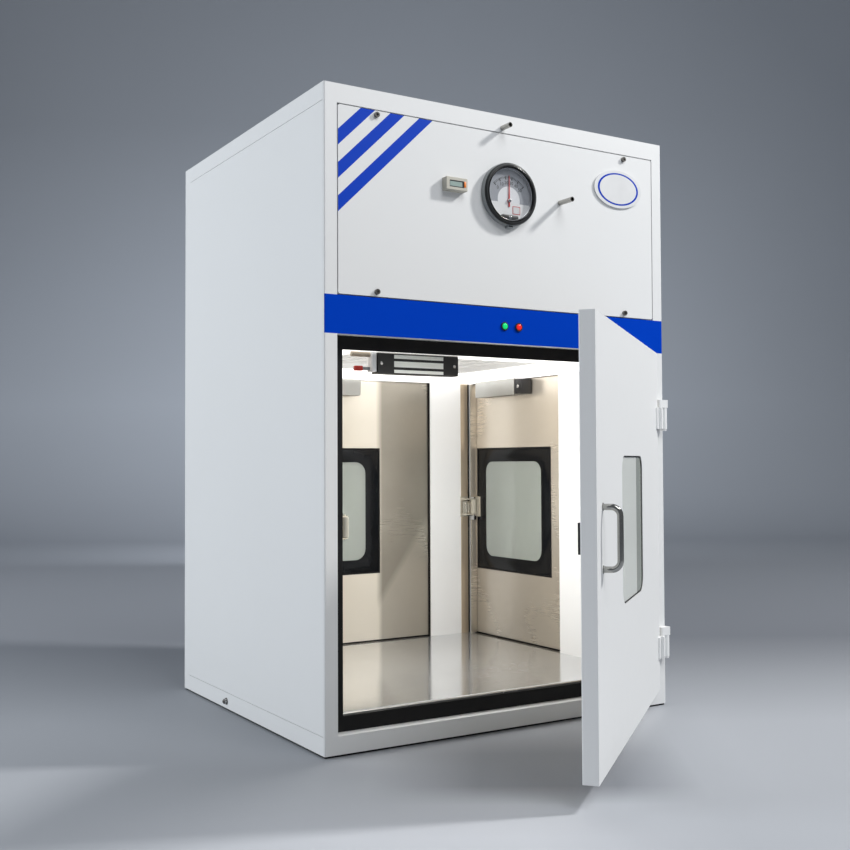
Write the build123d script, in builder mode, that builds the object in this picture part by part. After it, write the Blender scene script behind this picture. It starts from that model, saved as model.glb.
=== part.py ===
"""Cleanroom pass box: a filtered cabinet with three interlocked doors.

Millimetres, +Z up. The origin is the centre of the base pad's flat underside. The front
faces -Y and the side door is on the +X side. The front door stands open, the others are shut.
"""
from build123d import *
import os
from math import cos, radians, sin

os.makedirs("parts", exist_ok=True)

# ---- cabinet
cabinet_width = 800.0
cabinet_depth = 750.0
cabinet_height = 1204.0
sheet = 1.5                 # folded steel of the cabinet
edge_radius = 3.0           # rounded upright edges of the front
pad_height = 4.0            # rubber pad that the cabinet stands on
pad_inset = 3.0
panel_seam = 0.8            # open seam above and below the left panel
panel_lap = 3.0             # panel's flanges behind the tray and the cap
wrap = 5.0                  # front frame's return round the left edge
wrap_seam = 0.4
earth_bolt_at = (105.0, 19.0)

# ---- openings that the doors shut, and the lands that their seals lie on
stile = 26.0                # front, side and rear stile width at a door's free edge
threshold = 37.0            # floor to the bottom of each door opening
door_head = 752.0           # floor to the top of each door opening
recess = 32.0               # cabinet face to land
land_side = 20.0
land_top = 22.0
land_bottom = 25.0
land_sheet = 2.0
side_land_sheet = 6.0       # the side land is a folded section
rear_door_stile = 139.0     # rear face, hinge side
side_door_stile = 301.0     # right face, hinge side
seal_overhang = 3.0         # seal lip past the land's inner edge
seal_gap = 0.3              # seal face to a shut door

# ---- doors
door_thickness = 26.0
door_gap = 2.0
door_sheet = 1.2
door_corner = 2.0
door_return = 12.0          # white return round the inner liner
window_width = 250.0
window_height = 255.0
window_corner = 28.0
window_middle = 403.0       # height of the handles', catches' and front window's middle
window_shift = {"front": (0.0, 0.0), "side": (20.0, -4.0), "rear": (10.0, -4.0)}  # to the free edge, up
pane_width = 322.0
pane_height = 312.0
pane_thickness = 5.0
pane_depth = 20.4           # outer face of the door to the pane
front_open_angle = 41.0     # how far the front door stands open

# ---- hinges, one frame block over one door knuckle
hinge_out = 10.0            # hinge axis in front of the door's face
hinge_offset = 20.0         # hinge axis to the door's hinge edge
knuckle_radius = 7.5
hinge_pin_radius = 4.0
hinge_pin_play = 0.06
hinge_block_height = 17.0
hinge_knuckle_height = 45.0
hinge_play = 0.4
hinge_plate = 3.0
hinge_leaf_length = 28.0
hinge_boss_length = 8.0      # thick part of the leaf on the door's face
hinge_block_reach = 16.0     # hinge axis to the block's end over the stile
hinge_block_radius = 2.5
upper_hinge_top = 651.0
lower_hinge_top = 168.0

# ---- handles
handle_tube_radius = 5.0
handle_pitch = 96.0
handle_reach = 27.0
handle_bend = 14.0
handle_inset = 50.0         # handle axis in from the free edge
rose_radius = 6.5
rose_thickness = 1.0

# ---- magnetic locks and armature plates
lock_length = 176.0
lock_height = 38.0
lock_depth = 24.0
lock_top = 725.0
lock_shift = {"front": 184.0, "side": 44.5, "rear": 7.5}     # from the door's middle to its free edge
lock_gap = 0.5
core_bar_length = 108.0
core_bar_heights = (7.0, 11.0, 6.0)
core_bar_gap = 5.0
core_bar_proud = 0.6
lock_screw_radius = 3.2
armature_thickness = 9.0
armature_washer = 1.5
armature_washer_radius = 10.0
lock_bracket = 2.0          # angle that hangs the lock from the ceiling lights

# ---- roller buffers: a sprung roller that pushes an unlocked door ajar
strike_width = 18.0
strike_height = 53.0
strike_reach = 9.0
strike_plate = 3.0
strike_pad = (12.0, 50.0)
strike_inset = 15.0         # strike's middle in from the edge of the land
buffer_plate = 2.0
buffer_height = 52.0
buffer_ear_pitch = 40.0
buffer_start = 38.5         # cabinet face to the near edge of the bracket
buffer_depth = 30.0
roller_radius = 7.5
roller_gap = 0.4            # roller to a shut door's strike
roller_travel = 3.0
roller_play = 0.4
axle_radius = 2.0
axle_play = 0.06

# ---- chamber
chamber_floor_top = 70.0
floor_nose = 3.0
chamber_left = 46.0         # left face of the cabinet to the liner's inner face
liner_sheet = 1.2
ceiling_height = 750.0
light_width = 52.0
light_drop = 23.0
ceiling_pan_rise = 14.0
ceiling_pan_margin = 18.0
ceiling_slot = (34.0, 12.0)
ceiling_slot_count = (12, 22)
ceiling_slot_pitch = (44.0, 22.0)
grille_slot = (30.0, 5.0)
grille_count = (14, 8)
grille_pitch = (40.0, 14.0)
grille_middle = 174.0
post_width = 22.0
post_gap = 5.0

# ---- upper compartment
base_skirt = 33.0
cap_skirt = 33.0
cover_rail = 35.0           # top of the cabinet to the service cover
cover_bottom = 822.0
cover_gap = 2.2
cover_return = 12.0
cover_corner = 4.0
cover_screw_inset = (80.0, 10.5)
screw_radius = 3.0
screw_head_radius = 5.0
screw_head_height = 5.0
screw_length = 20.0
screw_play = 0.3
fascia_thickness = 1.0
lamp_spacing = 33.5
lamp_height = 786.5
lamp_centre = 5.0           # lamps' middle, right of the cabinet's middle
lamp_bezel_radius = 8.5
lamp_bezel_proud = 2.5
lamp_lens_radius = 6.2
lamp_lens_rise = 4.5
lamp_body_radius = 7.5
lamp_body_length = 24.0

# ---- gauge, meter and ports on the cover
gauge_at = (-3.0, cabinet_height - 158.0)
gauge_bezel_radius = 61.0
gauge_case_radius = 57.5
gauge_proud = 16.0
gauge_case_depth = 30.0
gauge_sight_radius = 54.0
gauge_lens_thickness = 2.0
gauge_dial_depth = 11.0     # bezel's front to the dial
gauge_dial_thickness = 1.0
pointer_pivot_drop = 12.0   # pointer's pivot below the dial's centre
pointer_length = 50.0
pointer_tail = 12.0
pointer_thickness = 0.8
pivot_radius = 1.2
pivot_play = 0.05
meter_at = (-129.0, cabinet_height - 154.5)
meter_size = (48.0, 25.0)
meter_proud = 15.0
meter_body = (44.0, 21.0, 34.0)
meter_window = (33.0, 13.0, 1.2)
test_port_at = (126.0, cabinet_height - 158.0)
top_port_at = (-14.0, cabinet_height - 26.0)
port_radius = 5.0
port_shank_radius = 4.6
port_bore = 3.6
test_port_length = 42.0
top_port_length = 28.0
port_nut_radius = 7.5
port_nut_height = 5.0

# ---- filter and blower
filter_size = (610.0, 610.0, 78.0)
filter_wall = 18.0
pleat_pitch = 22.0
deck_height = 1014.0
deck_flange = 40.0
impeller_radius = 140.0
impeller_height = 84.0
impeller_blades = 9
blade_thickness = 2.0
blade_lean = 48.0           # degrees that each blade leans back
impeller_eye_radius = 86.0
impeller_plate = 2.0
hub_radius = 26.0
shaft_radius = 8.0
shaft_play = 0.06
motor_radius = 62.0
motor_height = 52.0
inlet_gap = 4.0
motor_post_radius = 5.0
prefilter_size = (420.0, 420.0, 25.0)
prefilter_wall = 16.0

# ---- derived
half_width = cabinet_width / 2
half_depth = cabinet_depth / 2
frame_depth = recess + land_sheet
side_frame_depth = recess + side_land_sheet
inner_front = -half_depth + frame_depth
side_sheet_front = -half_depth + wrap + wrap_seam
inner_rear = half_depth - frame_depth
inner_right = half_width - side_frame_depth
liner_left = -half_width + chamber_left
cover_top = cabinet_height - cover_rail
cap_bottom = cabinet_height - cap_skirt
skirt_top = pad_height + base_skirt
light_bottom = ceiling_height - light_drop
lock_middle_height = lock_top - lock_height / 2
door_low = threshold + door_gap
door_high = door_head - door_gap
mouth_low = threshold + land_bottom
mouth_high = door_head - land_top

# Faces seen from outside: local X to the viewer's right, local Y up, local Z out of the cabinet.
front_face = Plane(origin=(0, -half_depth, 0), x_dir=(1, 0, 0), z_dir=(0, -1, 0))
side_face = Plane(origin=(half_width, 0, 0), x_dir=(0, 1, 0), z_dir=(1, 0, 0))
rear_face = Plane(origin=(0, half_depth, 0), x_dir=(-1, 0, 0), z_dir=(0, 1, 0))

# Each door opening: face, low and high edge along local X, and the sign of local X from the
# hinge towards the free edge.
openings = {
    "front": (front_face, -half_width + stile, half_width - stile, -1),
    "side": (side_face, -half_depth + side_door_stile, half_depth - stile, 1),
    "rear": (rear_face, -half_width + rear_door_stile, half_width - stile, 1),
}


def save(builder, node):
    """Label a finished piece and write it under its node's name."""
    builder.part.label = node
    export_step(builder.part, f"parts/{node}.step")


def rectangle(low, high, bottom, top, mode=Mode.ADD):
    """A rectangle given by its edges, in the current sketch."""
    with Locations(((low + high) / 2, (bottom + top) / 2)):
        Rectangle(high - low, top - bottom, mode=mode)


def slab(bottom, top, low_x, high_x, low_y, high_y, mode=Mode.ADD):
    """A level slab in the current part, from its six faces."""
    with Locations(((low_x + high_x) / 2, (low_y + high_y) / 2, bottom)):
        Box(high_x - low_x, high_y - low_y, top - bottom,
            align=(Align.CENTER, Align.CENTER, Align.MIN), mode=mode)


# =============================================================================== cabinet

def wall_frame(node, opening, low, high, land):
    """One wall of the cabinet: face sheet, rim, door recess and the land for its seal."""
    face, door_lo, door_hi, _ = opening
    mouth = (door_lo + land_side, door_hi - land_side, mouth_low, mouth_high)
    with BuildPart() as frame:
        with BuildSketch(face):
            rectangle(low, high, pad_height, cabinet_height)
            rectangle(door_lo, door_hi, threshold, door_head, mode=Mode.SUBTRACT)
        extrude(amount=-sheet)
        with BuildSketch(face.offset(-sheet)):
            rectangle(low, high, pad_height, cabinet_height)
            rectangle(low + sheet, high - sheet, pad_height + sheet, cabinet_height - sheet,
                      mode=Mode.SUBTRACT)
            rectangle(door_lo - sheet, door_hi + sheet, threshold - sheet, door_head + sheet)
            rectangle(door_lo, door_hi, threshold, door_head, mode=Mode.SUBTRACT)
        extrude(amount=sheet - recess - land)
        with BuildSketch(face.offset(-recess)):
            rectangle(door_lo - sheet, door_hi + sheet, threshold - sheet, door_head + sheet)
            rectangle(*mouth, mode=Mode.SUBTRACT)
        extrude(amount=-land)
    return frame


front_shell = wall_frame("front_frame", openings["front"], -half_width, half_width, land_sheet)
cover_edges = (-half_width + stile, half_width - stile, cover_bottom, cover_top)
screw_places = [
    (side * (half_width - stile - cover_screw_inset[0]), height)
    for side in (-1, 1)
    for height in (cover_bottom + cover_screw_inset[1], cover_top - cover_screw_inset[1])
]
lamp_places = [(lamp_centre - lamp_spacing / 2, lamp_height), (lamp_centre + lamp_spacing / 2, lamp_height)]

with BuildPart() as front_frame:
    add(front_shell.part)
    corners = front_frame.edges().filter_by(Axis.Z).filter_by(lambda edge: edge.length > cover_bottom)
    fillet([edge for edge in corners if abs(edge.center().X) > half_width - 0.1
            and edge.center().Y < 0.1 - half_depth], edge_radius)
    # opening of the service cover, with the ledge that the cover is screwed to
    with BuildSketch(front_face):
        rectangle(*cover_edges)
    extrude(amount=-sheet, mode=Mode.SUBTRACT)
    with BuildSketch(front_face.offset(-sheet)):
        rectangle(cover_edges[0] - sheet, cover_edges[1] + sheet, cover_edges[2] - sheet, cover_edges[3] + sheet)
        rectangle(*cover_edges, mode=Mode.SUBTRACT)
    extrude(amount=sheet - cover_return - land_sheet)
    with BuildSketch(front_face.offset(-cover_return)):
        rectangle(*cover_edges)
        rectangle(cover_edges[0] + land_side, cover_edges[1] - land_side,
                  cover_edges[2] + land_side, cover_edges[3] - land_side, mode=Mode.SUBTRACT)
        with Locations(screw_places):
            Circle(screw_radius + screw_play, mode=Mode.SUBTRACT)
    extrude(amount=-land_sheet)
    # pocket of the blue fascia, flush with the face, and the holes of the lamps and the top port
    with BuildSketch(front_face):
        rectangle(-half_width, half_width, door_head, cover_bottom)
    extrude(amount=-fascia_thickness, mode=Mode.SUBTRACT)
    with BuildSketch(front_face):
        with Locations(lamp_places):
            Circle(lamp_body_radius + screw_play)
        with Locations(top_port_at):
            Circle(port_shank_radius + screw_play)
    extrude(amount=-recess, mode=Mode.SUBTRACT)
    # the left edge's return is short: the tray, panel and cap run on to it
    slab(pad_height, cabinet_height, -half_width, -half_width + sheet, -half_depth + wrap, inner_front,
         mode=Mode.SUBTRACT)
save(front_frame, "front_frame")

side_frame = wall_frame("side_frame", openings["side"], inner_front, half_depth, side_land_sheet)
save(side_frame, "side_frame")

rear_frame = wall_frame("rear_frame", openings["rear"], -inner_right, half_width, land_sheet)
save(rear_frame, "rear_frame")

with BuildPart() as header_fascia:
    slab(door_head, cover_bottom, -half_width, half_width, -half_depth, inner_front)
    fillet(header_fascia.faces().sort_by(Axis.Y)[0].edges().filter_by(Axis.Z), edge_radius)
    slab(door_head, cover_bottom, -half_width, half_width, -half_depth, fascia_thickness - half_depth,
         mode=Mode.INTERSECT)
    with BuildSketch(front_face):
        with Locations(lamp_places):
            Circle(lamp_body_radius + screw_play)
    extrude(amount=-fascia_thickness, mode=Mode.SUBTRACT)
save(header_fascia, "header_fascia")

with BuildPart() as base_tray:
    slab(pad_height, skirt_top, -half_width, inner_right, inner_front, inner_rear)
    slab(pad_height + sheet, skirt_top, -half_width + sheet, inner_right - sheet,
         inner_front + sheet, inner_rear - sheet, mode=Mode.SUBTRACT)
    slab(pad_height, skirt_top, -half_width, -half_width + sheet, side_sheet_front, inner_front)
    # earth bolt through the left skirt
    with BuildSketch(Plane(origin=(-half_width, 0, 0), x_dir=(0, -1, 0), z_dir=(-1, 0, 0))):
        with Locations((-earth_bolt_at[0], earth_bolt_at[1])):
            Circle(screw_head_radius)
    extrude(amount=screw_head_height)
save(base_tray, "base_tray")

with BuildPart() as top_cap:
    slab(cap_bottom, cabinet_height, -half_width, inner_right, inner_front, inner_rear)
    slab(cap_bottom, cabinet_height - sheet, -half_width + sheet, inner_right - sheet,
         inner_front + sheet, inner_rear - sheet, mode=Mode.SUBTRACT)
    slab(cap_bottom, cabinet_height, -half_width, -half_width + sheet, side_sheet_front, inner_front)
save(top_cap, "top_cap")

with BuildPart() as left_side_panel:
    slab(skirt_top + panel_seam, cap_bottom - panel_seam, -half_width, -half_width + sheet,
         side_sheet_front, inner_rear)
    # flanges that lap behind the tray and the cap
    slab(skirt_top - panel_lap, cap_bottom + panel_lap, -half_width + sheet, -half_width + cover_return,
         inner_front + sheet, inner_rear - sheet)
    slab(skirt_top - panel_lap + sheet, cap_bottom + panel_lap - sheet, -half_width + sheet,
         -half_width + cover_return, inner_front + 2 * sheet, inner_rear - 2 * sheet, mode=Mode.SUBTRACT)
save(left_side_panel, "left_side_panel")

with BuildPart() as base_pad:
    slab(0, pad_height, -half_width + pad_inset, half_width - pad_inset,
         -half_depth + pad_inset, half_depth - pad_inset)
save(base_pad, "base_pad")

# =============================================================================== chamber

with BuildPart() as chamber_floor:
    slab(skirt_top, chamber_floor_top, liner_left, inner_right, inner_front, inner_rear)
    top_edges = chamber_floor.faces().sort_by(Axis.Z)[-1].edges().sort_by(Axis.Y)[:1]
    fillet(top_edges, floor_nose)
    slab(skirt_top, chamber_floor_top - liner_sheet, liner_left + liner_sheet, inner_right - liner_sheet,
         inner_front + floor_nose, inner_rear - liner_sheet, mode=Mode.SUBTRACT)
save(chamber_floor, "chamber_floor")

with BuildPart() as chamber_left_wall:
    slab(skirt_top, ceiling_height, liner_left - liner_sheet, liner_left, inner_front, inner_rear)
    with BuildSketch(Plane.YZ.offset(liner_left - 2 * liner_sheet)):
        with Locations((0, grille_middle)):
            with GridLocations(grille_pitch[0], grille_pitch[1], grille_count[0], grille_count[1]):
                Rectangle(grille_slot[0], grille_slot[1])
    extrude(amount=4 * liner_sheet, mode=Mode.SUBTRACT)
    slab(skirt_top, skirt_top + liner_sheet, -half_width + cover_return, liner_left - liner_sheet,
         inner_front, inner_rear)
save(chamber_left_wall, "chamber_left_wall")

rear_mouth_right = half_width - rear_door_stile - land_side      # global x of the rear mouth's hinge side
side_mouth_front = -half_depth + side_door_stile + land_side     # global y of the side mouth's hinge side
post_right = inner_right - post_gap - liner_sheet
post_left = post_right - post_width

with BuildPart() as jamb_panels:
    slab(chamber_floor_top, ceiling_height, rear_mouth_right, post_left, inner_rear - liner_sheet, inner_rear)
    slab(chamber_floor_top, ceiling_height, inner_right - liner_sheet, inner_right,
         inner_front, side_mouth_front)
save(jamb_panels, "jamb_panels")

with BuildPart() as corner_post:
    slab(chamber_floor_top, ceiling_height, post_left, post_right, inner_rear - 2 * liner_sheet, inner_rear)
save(corner_post, "corner_post")

ceiling_box = (liner_left, inner_right, inner_front, inner_rear)
pan_box = (liner_left + light_width + ceiling_pan_margin, inner_right - light_width - ceiling_pan_margin,
           inner_front + light_width + ceiling_pan_margin, inner_rear - light_width - ceiling_pan_margin)
pan_centre = ((pan_box[0] + pan_box[1]) / 2, (pan_box[2] + pan_box[3]) / 2)

with BuildPart() as ceiling_diffuser:
    slab(ceiling_height, ceiling_height + liner_sheet, liner_left - liner_sheet, *ceiling_box[1:])
    slab(ceiling_height, ceiling_height + liner_sheet, *pan_box, mode=Mode.SUBTRACT)
    slab(ceiling_height, ceiling_height + ceiling_pan_rise, pan_box[0] - liner_sheet, pan_box[1] + liner_sheet,
         pan_box[2] - liner_sheet, pan_box[3] + liner_sheet)
    slab(ceiling_height, ceiling_height + ceiling_pan_rise - liner_sheet, *pan_box, mode=Mode.SUBTRACT)
    with BuildSketch(Plane.XY.offset(ceiling_height)):
        with Locations(pan_centre):
            with GridLocations(ceiling_slot_pitch[0], ceiling_slot_pitch[1],
                               ceiling_slot_count[0], ceiling_slot_count[1]):
                Rectangle(ceiling_slot[0], ceiling_slot[1])
    extrude(amount=2 * ceiling_pan_rise, mode=Mode.SUBTRACT)
save(ceiling_diffuser, "ceiling_diffuser")

with BuildPart() as ceiling_lights:
    slab(light_bottom, ceiling_height, liner_left, inner_right - liner_sheet,
         inner_front, inner_rear - 3 * liner_sheet)
    slab(light_bottom, ceiling_height, liner_left + light_width,
         inner_right - liner_sheet - light_width, inner_front + light_width,
         inner_rear - 3 * liner_sheet - light_width, mode=Mode.SUBTRACT)
save(ceiling_lights, "ceiling_lights")


# =============================================================================== doors

def hinge_heights():
    return (upper_hinge_top, lower_hinge_top)


def door_pieces(name, opening, open_angle):
    """Everything that swings with one door, made in the plane of its hinge axis."""
    face, low, high, side = opening
    hinge_edge = high if side < 0 else low
    axis_at = hinge_edge - side * (hinge_offset - door_gap)
    origin = face.from_local_coords((axis_at, 0, hinge_out))
    shut = Plane(origin=origin, x_dir=face.x_dir, z_dir=face.z_dir)
    swing = Plane(
        origin=origin,
        x_dir=Vector(face.x_dir).rotate(Axis.Z, open_angle),
        z_dir=Vector(face.z_dir).rotate(Axis.Z, open_angle),
    )
    free_edge = hinge_offset + (high - low) - 2 * door_gap
    middle = (hinge_offset + free_edge) / 2
    outer = -hinge_out
    window_at = (side * (middle + window_shift[name][0]), window_middle + window_shift[name][1])

    def span(start, end, bottom, top, mode=Mode.ADD):
        rectangle(min(side * start, side * end), max(side * start, side * end), bottom, top, mode=mode)

    with BuildPart() as shell:
        with BuildSketch(swing.offset(outer)):
            span(hinge_offset, free_edge, door_low, door_high)
        extrude(amount=-door_thickness)
        fillet(shell.edges().filter_by(Axis.Z), door_corner)
        with BuildSketch(swing.offset(outer - door_sheet)):
            span(hinge_offset + door_sheet, free_edge - door_sheet, door_low + door_sheet, door_high - door_sheet)
        extrude(amount=2 * door_sheet - door_thickness, mode=Mode.SUBTRACT)
        with BuildSketch(swing.offset(outer - door_thickness + door_sheet)):
            span(hinge_offset + door_return, free_edge - door_return, door_low + door_return, door_high - door_return)
        extrude(amount=-door_sheet, mode=Mode.SUBTRACT)
        with BuildSketch(swing.offset(outer - door_sheet)):
            with Locations(window_at):
                RectangleRounded(window_width + 2 * door_sheet, window_height + 2 * door_sheet,
                                 window_corner + door_sheet)
        extrude(amount=door_sheet - pane_depth)
        with BuildSketch(swing.offset(outer)):
            with Locations(window_at):
                RectangleRounded(window_width, window_height, window_corner)
        extrude(amount=-pane_depth, mode=Mode.SUBTRACT)
    save(shell, f"{name}_door_shell")

    with BuildPart() as liner:
        with BuildSketch(swing.offset(outer - door_thickness + door_sheet)):
            span(hinge_offset + door_return, free_edge - door_return, door_low + door_return, door_high - door_return)
        extrude(amount=-door_sheet)
        with BuildSketch(swing.offset(outer - pane_depth)):
            with Locations(window_at):
                Rectangle(pane_width + 2 * door_sheet, pane_height + 2 * door_sheet)
        extrude(amount=pane_depth - door_thickness)
        with BuildSketch(swing.offset(outer - pane_depth)):
            with Locations(window_at):
                Rectangle(pane_width, pane_height)
        extrude(amount=pane_depth - door_thickness, mode=Mode.SUBTRACT)
    save(liner, f"{name}_door_liner")

    with BuildPart() as pane:
        with BuildSketch(swing.offset(outer - pane_depth)):
            with Locations(window_at):
                Rectangle(pane_width, pane_height)
        extrude(amount=-pane_thickness)
    save(pane, f"{name}_door_pane")

    # D handle: a bent tube between two roses
    grip_plane = Plane(origin=swing.from_local_coords((side * (free_edge - handle_inset), window_middle, outer)),
                       x_dir=(0, 0, 1), z_dir=swing.x_dir)
    out_sign = 1 if grip_plane.y_dir.dot(swing.z_dir) > 0 else -1
    half = handle_pitch / 2
    with BuildPart() as handle:
        with BuildLine(grip_plane) as bend:
            FilletPolyline((-half, 0), (-half, out_sign * handle_reach), (half, out_sign * handle_reach),
                           (half, 0), radius=handle_bend)
        with BuildSketch(Plane(origin=bend.line @ 0, z_dir=bend.line % 0)):
            Circle(handle_tube_radius)
        sweep(path=bend.line)
        with BuildSketch(swing.offset(outer)):
            with Locations((side * (free_edge - handle_inset), window_middle - half),
                           (side * (free_edge - handle_inset), window_middle + half)):
                Circle(rose_radius)
        extrude(amount=rose_thickness)
    save(handle, f"{name}_door_handle")

    with BuildPart() as leaves:
        for block_top in hinge_heights():
            knuckle_top = block_top - hinge_block_height - hinge_play
            knuckle_bottom = knuckle_top - hinge_knuckle_height
            with BuildSketch(Plane.XY.offset(knuckle_bottom)):
                with Locations((origin.X, origin.Y)):
                    Circle(knuckle_radius)
            extrude(amount=hinge_knuckle_height)
            with BuildSketch(swing):
                span(0, hinge_offset + hinge_boss_length, knuckle_bottom, knuckle_top)
            extrude(amount=hinge_play - hinge_out)
            with BuildSketch(swing.offset(outer + hinge_plate + hinge_play)):
                span(hinge_offset, hinge_offset + hinge_leaf_length, knuckle_bottom, knuckle_top)
            extrude(amount=-hinge_plate - hinge_play)
            with BuildSketch(Plane.XY.offset(knuckle_bottom)):
                with Locations((origin.X, origin.Y)):
                    Circle(hinge_pin_radius + hinge_pin_play)
            extrude(amount=hinge_knuckle_height, mode=Mode.SUBTRACT)
    save(leaves, f"{name}_door_hinge_leaves")

    lock_middle = middle + lock_shift[name]
    with BuildPart() as armature:
        with BuildSketch(swing.offset(outer - door_thickness - armature_washer)):
            with Locations((side * lock_middle, lock_middle_height)):
                RectangleRounded(lock_length, lock_height, 3)
        extrude(amount=-armature_thickness)
        with BuildSketch(swing.offset(outer - door_thickness)):
            with Locations((side * lock_middle, lock_middle_height)):
                Circle(armature_washer_radius)
        extrude(amount=-armature_washer)
    save(armature, f"{name}_door_armature")

    strike_middle = free_edge + door_gap - land_side - strike_inset
    with BuildPart() as strike:
        with BuildSketch(swing.offset(outer - door_thickness)):
            with Locations((side * strike_middle, window_middle)):
                RectangleRounded(strike_width, strike_height, 2)
        extrude(amount=-strike_plate)
        with BuildSketch(swing.offset(outer - door_thickness - strike_plate)):
            with Locations((side * strike_middle, window_middle)):
                RectangleRounded(*strike_pad, 2)
        extrude(amount=strike_plate - strike_reach, taper=8)
    save(strike, f"{name}_door_strike")
    return shut, side * lock_middle, side * strike_middle


planes = {}
for door_name, door_opening in openings.items():
    angle = front_open_angle if door_name == "front" else 0
    planes[door_name] = door_pieces(door_name, door_opening, angle)

for door_name, (seal_face, seal_low, seal_high, _) in openings.items():
    with BuildPart() as door_seal:
        with BuildSketch(seal_face.offset(-door_thickness - seal_gap)):
            rectangle(seal_low, seal_high, threshold, door_head)
            rectangle(seal_low + land_side + seal_overhang, seal_high - land_side - seal_overhang,
                      mouth_low + seal_overhang, mouth_high - seal_overhang, mode=Mode.SUBTRACT)
        extrude(amount=door_thickness + seal_gap - recess)
    save(door_seal, f"{door_name}_door_seal")

# hinge blocks on the stiles, each with the pin that its door knuckle turns on
with BuildPart() as hinge_blocks:
    for door_name, (shut_plane, _, _) in planes.items():
        hinge_side = openings[door_name][3]
        pin_at = shut_plane.origin
        for block_top in hinge_heights():
            block_bottom = block_top - hinge_block_height
            pin_bottom = block_bottom - hinge_knuckle_height - 2 * hinge_play
            near, far = hinge_side * hinge_block_reach, -hinge_side * knuckle_radius
            with BuildSketch(Plane(origin=(pin_at.X, pin_at.Y, block_bottom),
                                   x_dir=shut_plane.x_dir, z_dir=(0, 0, 1))) as block_plan:
                rectangle(min(near, far), max(near, far), -knuckle_radius, hinge_out)
                outer_corners = block_plan.vertices().group_by(Axis.Y)[0]
                fillet(outer_corners, hinge_block_radius)
            extrude(amount=hinge_block_height)
            with BuildSketch(Plane.XY.offset(pin_bottom)):
                with Locations((pin_at.X, pin_at.Y)):
                    Circle(hinge_pin_radius)
            extrude(amount=block_bottom - pin_bottom)
            with BuildSketch(Plane.XY.offset(pin_bottom - hinge_plate)):
                with Locations((pin_at.X, pin_at.Y)):
                    Circle(knuckle_radius - 1)
            extrude(amount=hinge_plate)
save(hinge_blocks, "hinge_blocks")

# magnetic locks under the ceiling lights, one behind each door
with BuildPart() as door_locks:
    for door_name, (shut_plane, lock_at, _) in planes.items():
        lock_face = -hinge_out - door_thickness - armature_washer - armature_thickness - lock_gap
        with BuildSketch(shut_plane.offset(lock_face - core_bar_proud)):
            with Locations((lock_at, lock_middle_height)):
                Rectangle(lock_length, lock_height)
        extrude(amount=-lock_depth)
        bar_top = lock_middle_height + sum(core_bar_heights) / 2 + core_bar_gap
        for bar in core_bar_heights:
            with BuildSketch(shut_plane.offset(lock_face)):
                with Locations((lock_at, bar_top - bar / 2)):
                    Rectangle(core_bar_length, bar)
            extrude(amount=-core_bar_proud)
            bar_top -= bar + core_bar_gap
        with BuildSketch(shut_plane.offset(lock_face - core_bar_proud)):
            with Locations((lock_at, lock_middle_height)):
                with GridLocations(lock_length - 16, 0, 2, 1):
                    Circle(lock_screw_radius)
        extrude(amount=-lock_screw_radius / 2, mode=Mode.SUBTRACT)
        with BuildSketch(shut_plane.offset(lock_face - core_bar_proud)):
            rectangle(lock_at - lock_length / 2, lock_at + lock_length / 2, lock_top, light_bottom)
        extrude(amount=-lock_depth)
        with BuildSketch(shut_plane.offset(lock_face - core_bar_proud - lock_depth)):
            rectangle(lock_at - lock_length / 2, lock_at + lock_length / 2,
                      lock_top - lock_height, light_bottom)
        extrude(amount=-lock_bracket)
save(door_locks, "door_locks")

# roller buffers on the walls beside the free edges
buffer_walls = {"front": liner_left, "side": inner_rear - 2 * liner_sheet, "rear": -liner_left}
roller_depth = door_thickness + strike_reach + roller_gap + roller_radius
with BuildPart() as buffer_brackets:
    for door_name, (shut_plane, _, strike_at) in planes.items():
        hinge_side = openings[door_name][3]
        wall_at = buffer_walls[door_name] - shut_plane.origin.dot(shut_plane.x_dir)
        with BuildSketch(shut_plane.offset(-hinge_out - buffer_start)):
            rectangle(min(wall_at, wall_at - hinge_side * buffer_plate),
                      max(wall_at, wall_at - hinge_side * buffer_plate),
                      window_middle - buffer_height / 2, window_middle + buffer_height / 2)
            reach = strike_at - hinge_side * 5
            for ear in (-1, 1):
                rectangle(min(wall_at, reach), max(wall_at, reach),
                          window_middle + ear * buffer_ear_pitch / 2 - buffer_plate / 2,
                          window_middle + ear * buffer_ear_pitch / 2 + buffer_plate / 2)
        extrude(amount=-buffer_depth)
        slot_at = shut_plane.from_local_coords((strike_at, 0, -hinge_out - roller_depth - roller_travel / 2))
        with BuildSketch(Plane(origin=(slot_at.X, slot_at.Y, 0), x_dir=shut_plane.z_dir, z_dir=(0, 0, 1))):
            SlotOverall(2 * (axle_radius + axle_play) + roller_travel + 1, 2 * (axle_radius + axle_play))
        extrude(amount=2 * window_middle, mode=Mode.SUBTRACT)
save(buffer_brackets, "buffer_brackets")

for door_name, (shut_plane, _, strike_at) in planes.items():
    roller_at = shut_plane.from_local_coords((strike_at, 0, -hinge_out - roller_depth))
    roller_length = buffer_ear_pitch - buffer_plate - 2 * roller_play
    axle_length = buffer_ear_pitch + buffer_plate + 4
    with BuildPart() as roller:
        with BuildSketch(Plane.XY.offset(window_middle - roller_length / 2)):
            with Locations((roller_at.X, roller_at.Y)):
                Circle(roller_radius)
        extrude(amount=roller_length)
        chamfer(roller.edges().filter_by(GeomType.CIRCLE), 1)
        with BuildSketch(Plane.XY.offset(window_middle - axle_length / 2)):
            with Locations((roller_at.X, roller_at.Y)):
                Circle(axle_radius)
        extrude(amount=axle_length)
    save(roller, f"{door_name}_buffer_roller")

# =============================================================================== cover and instruments

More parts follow.
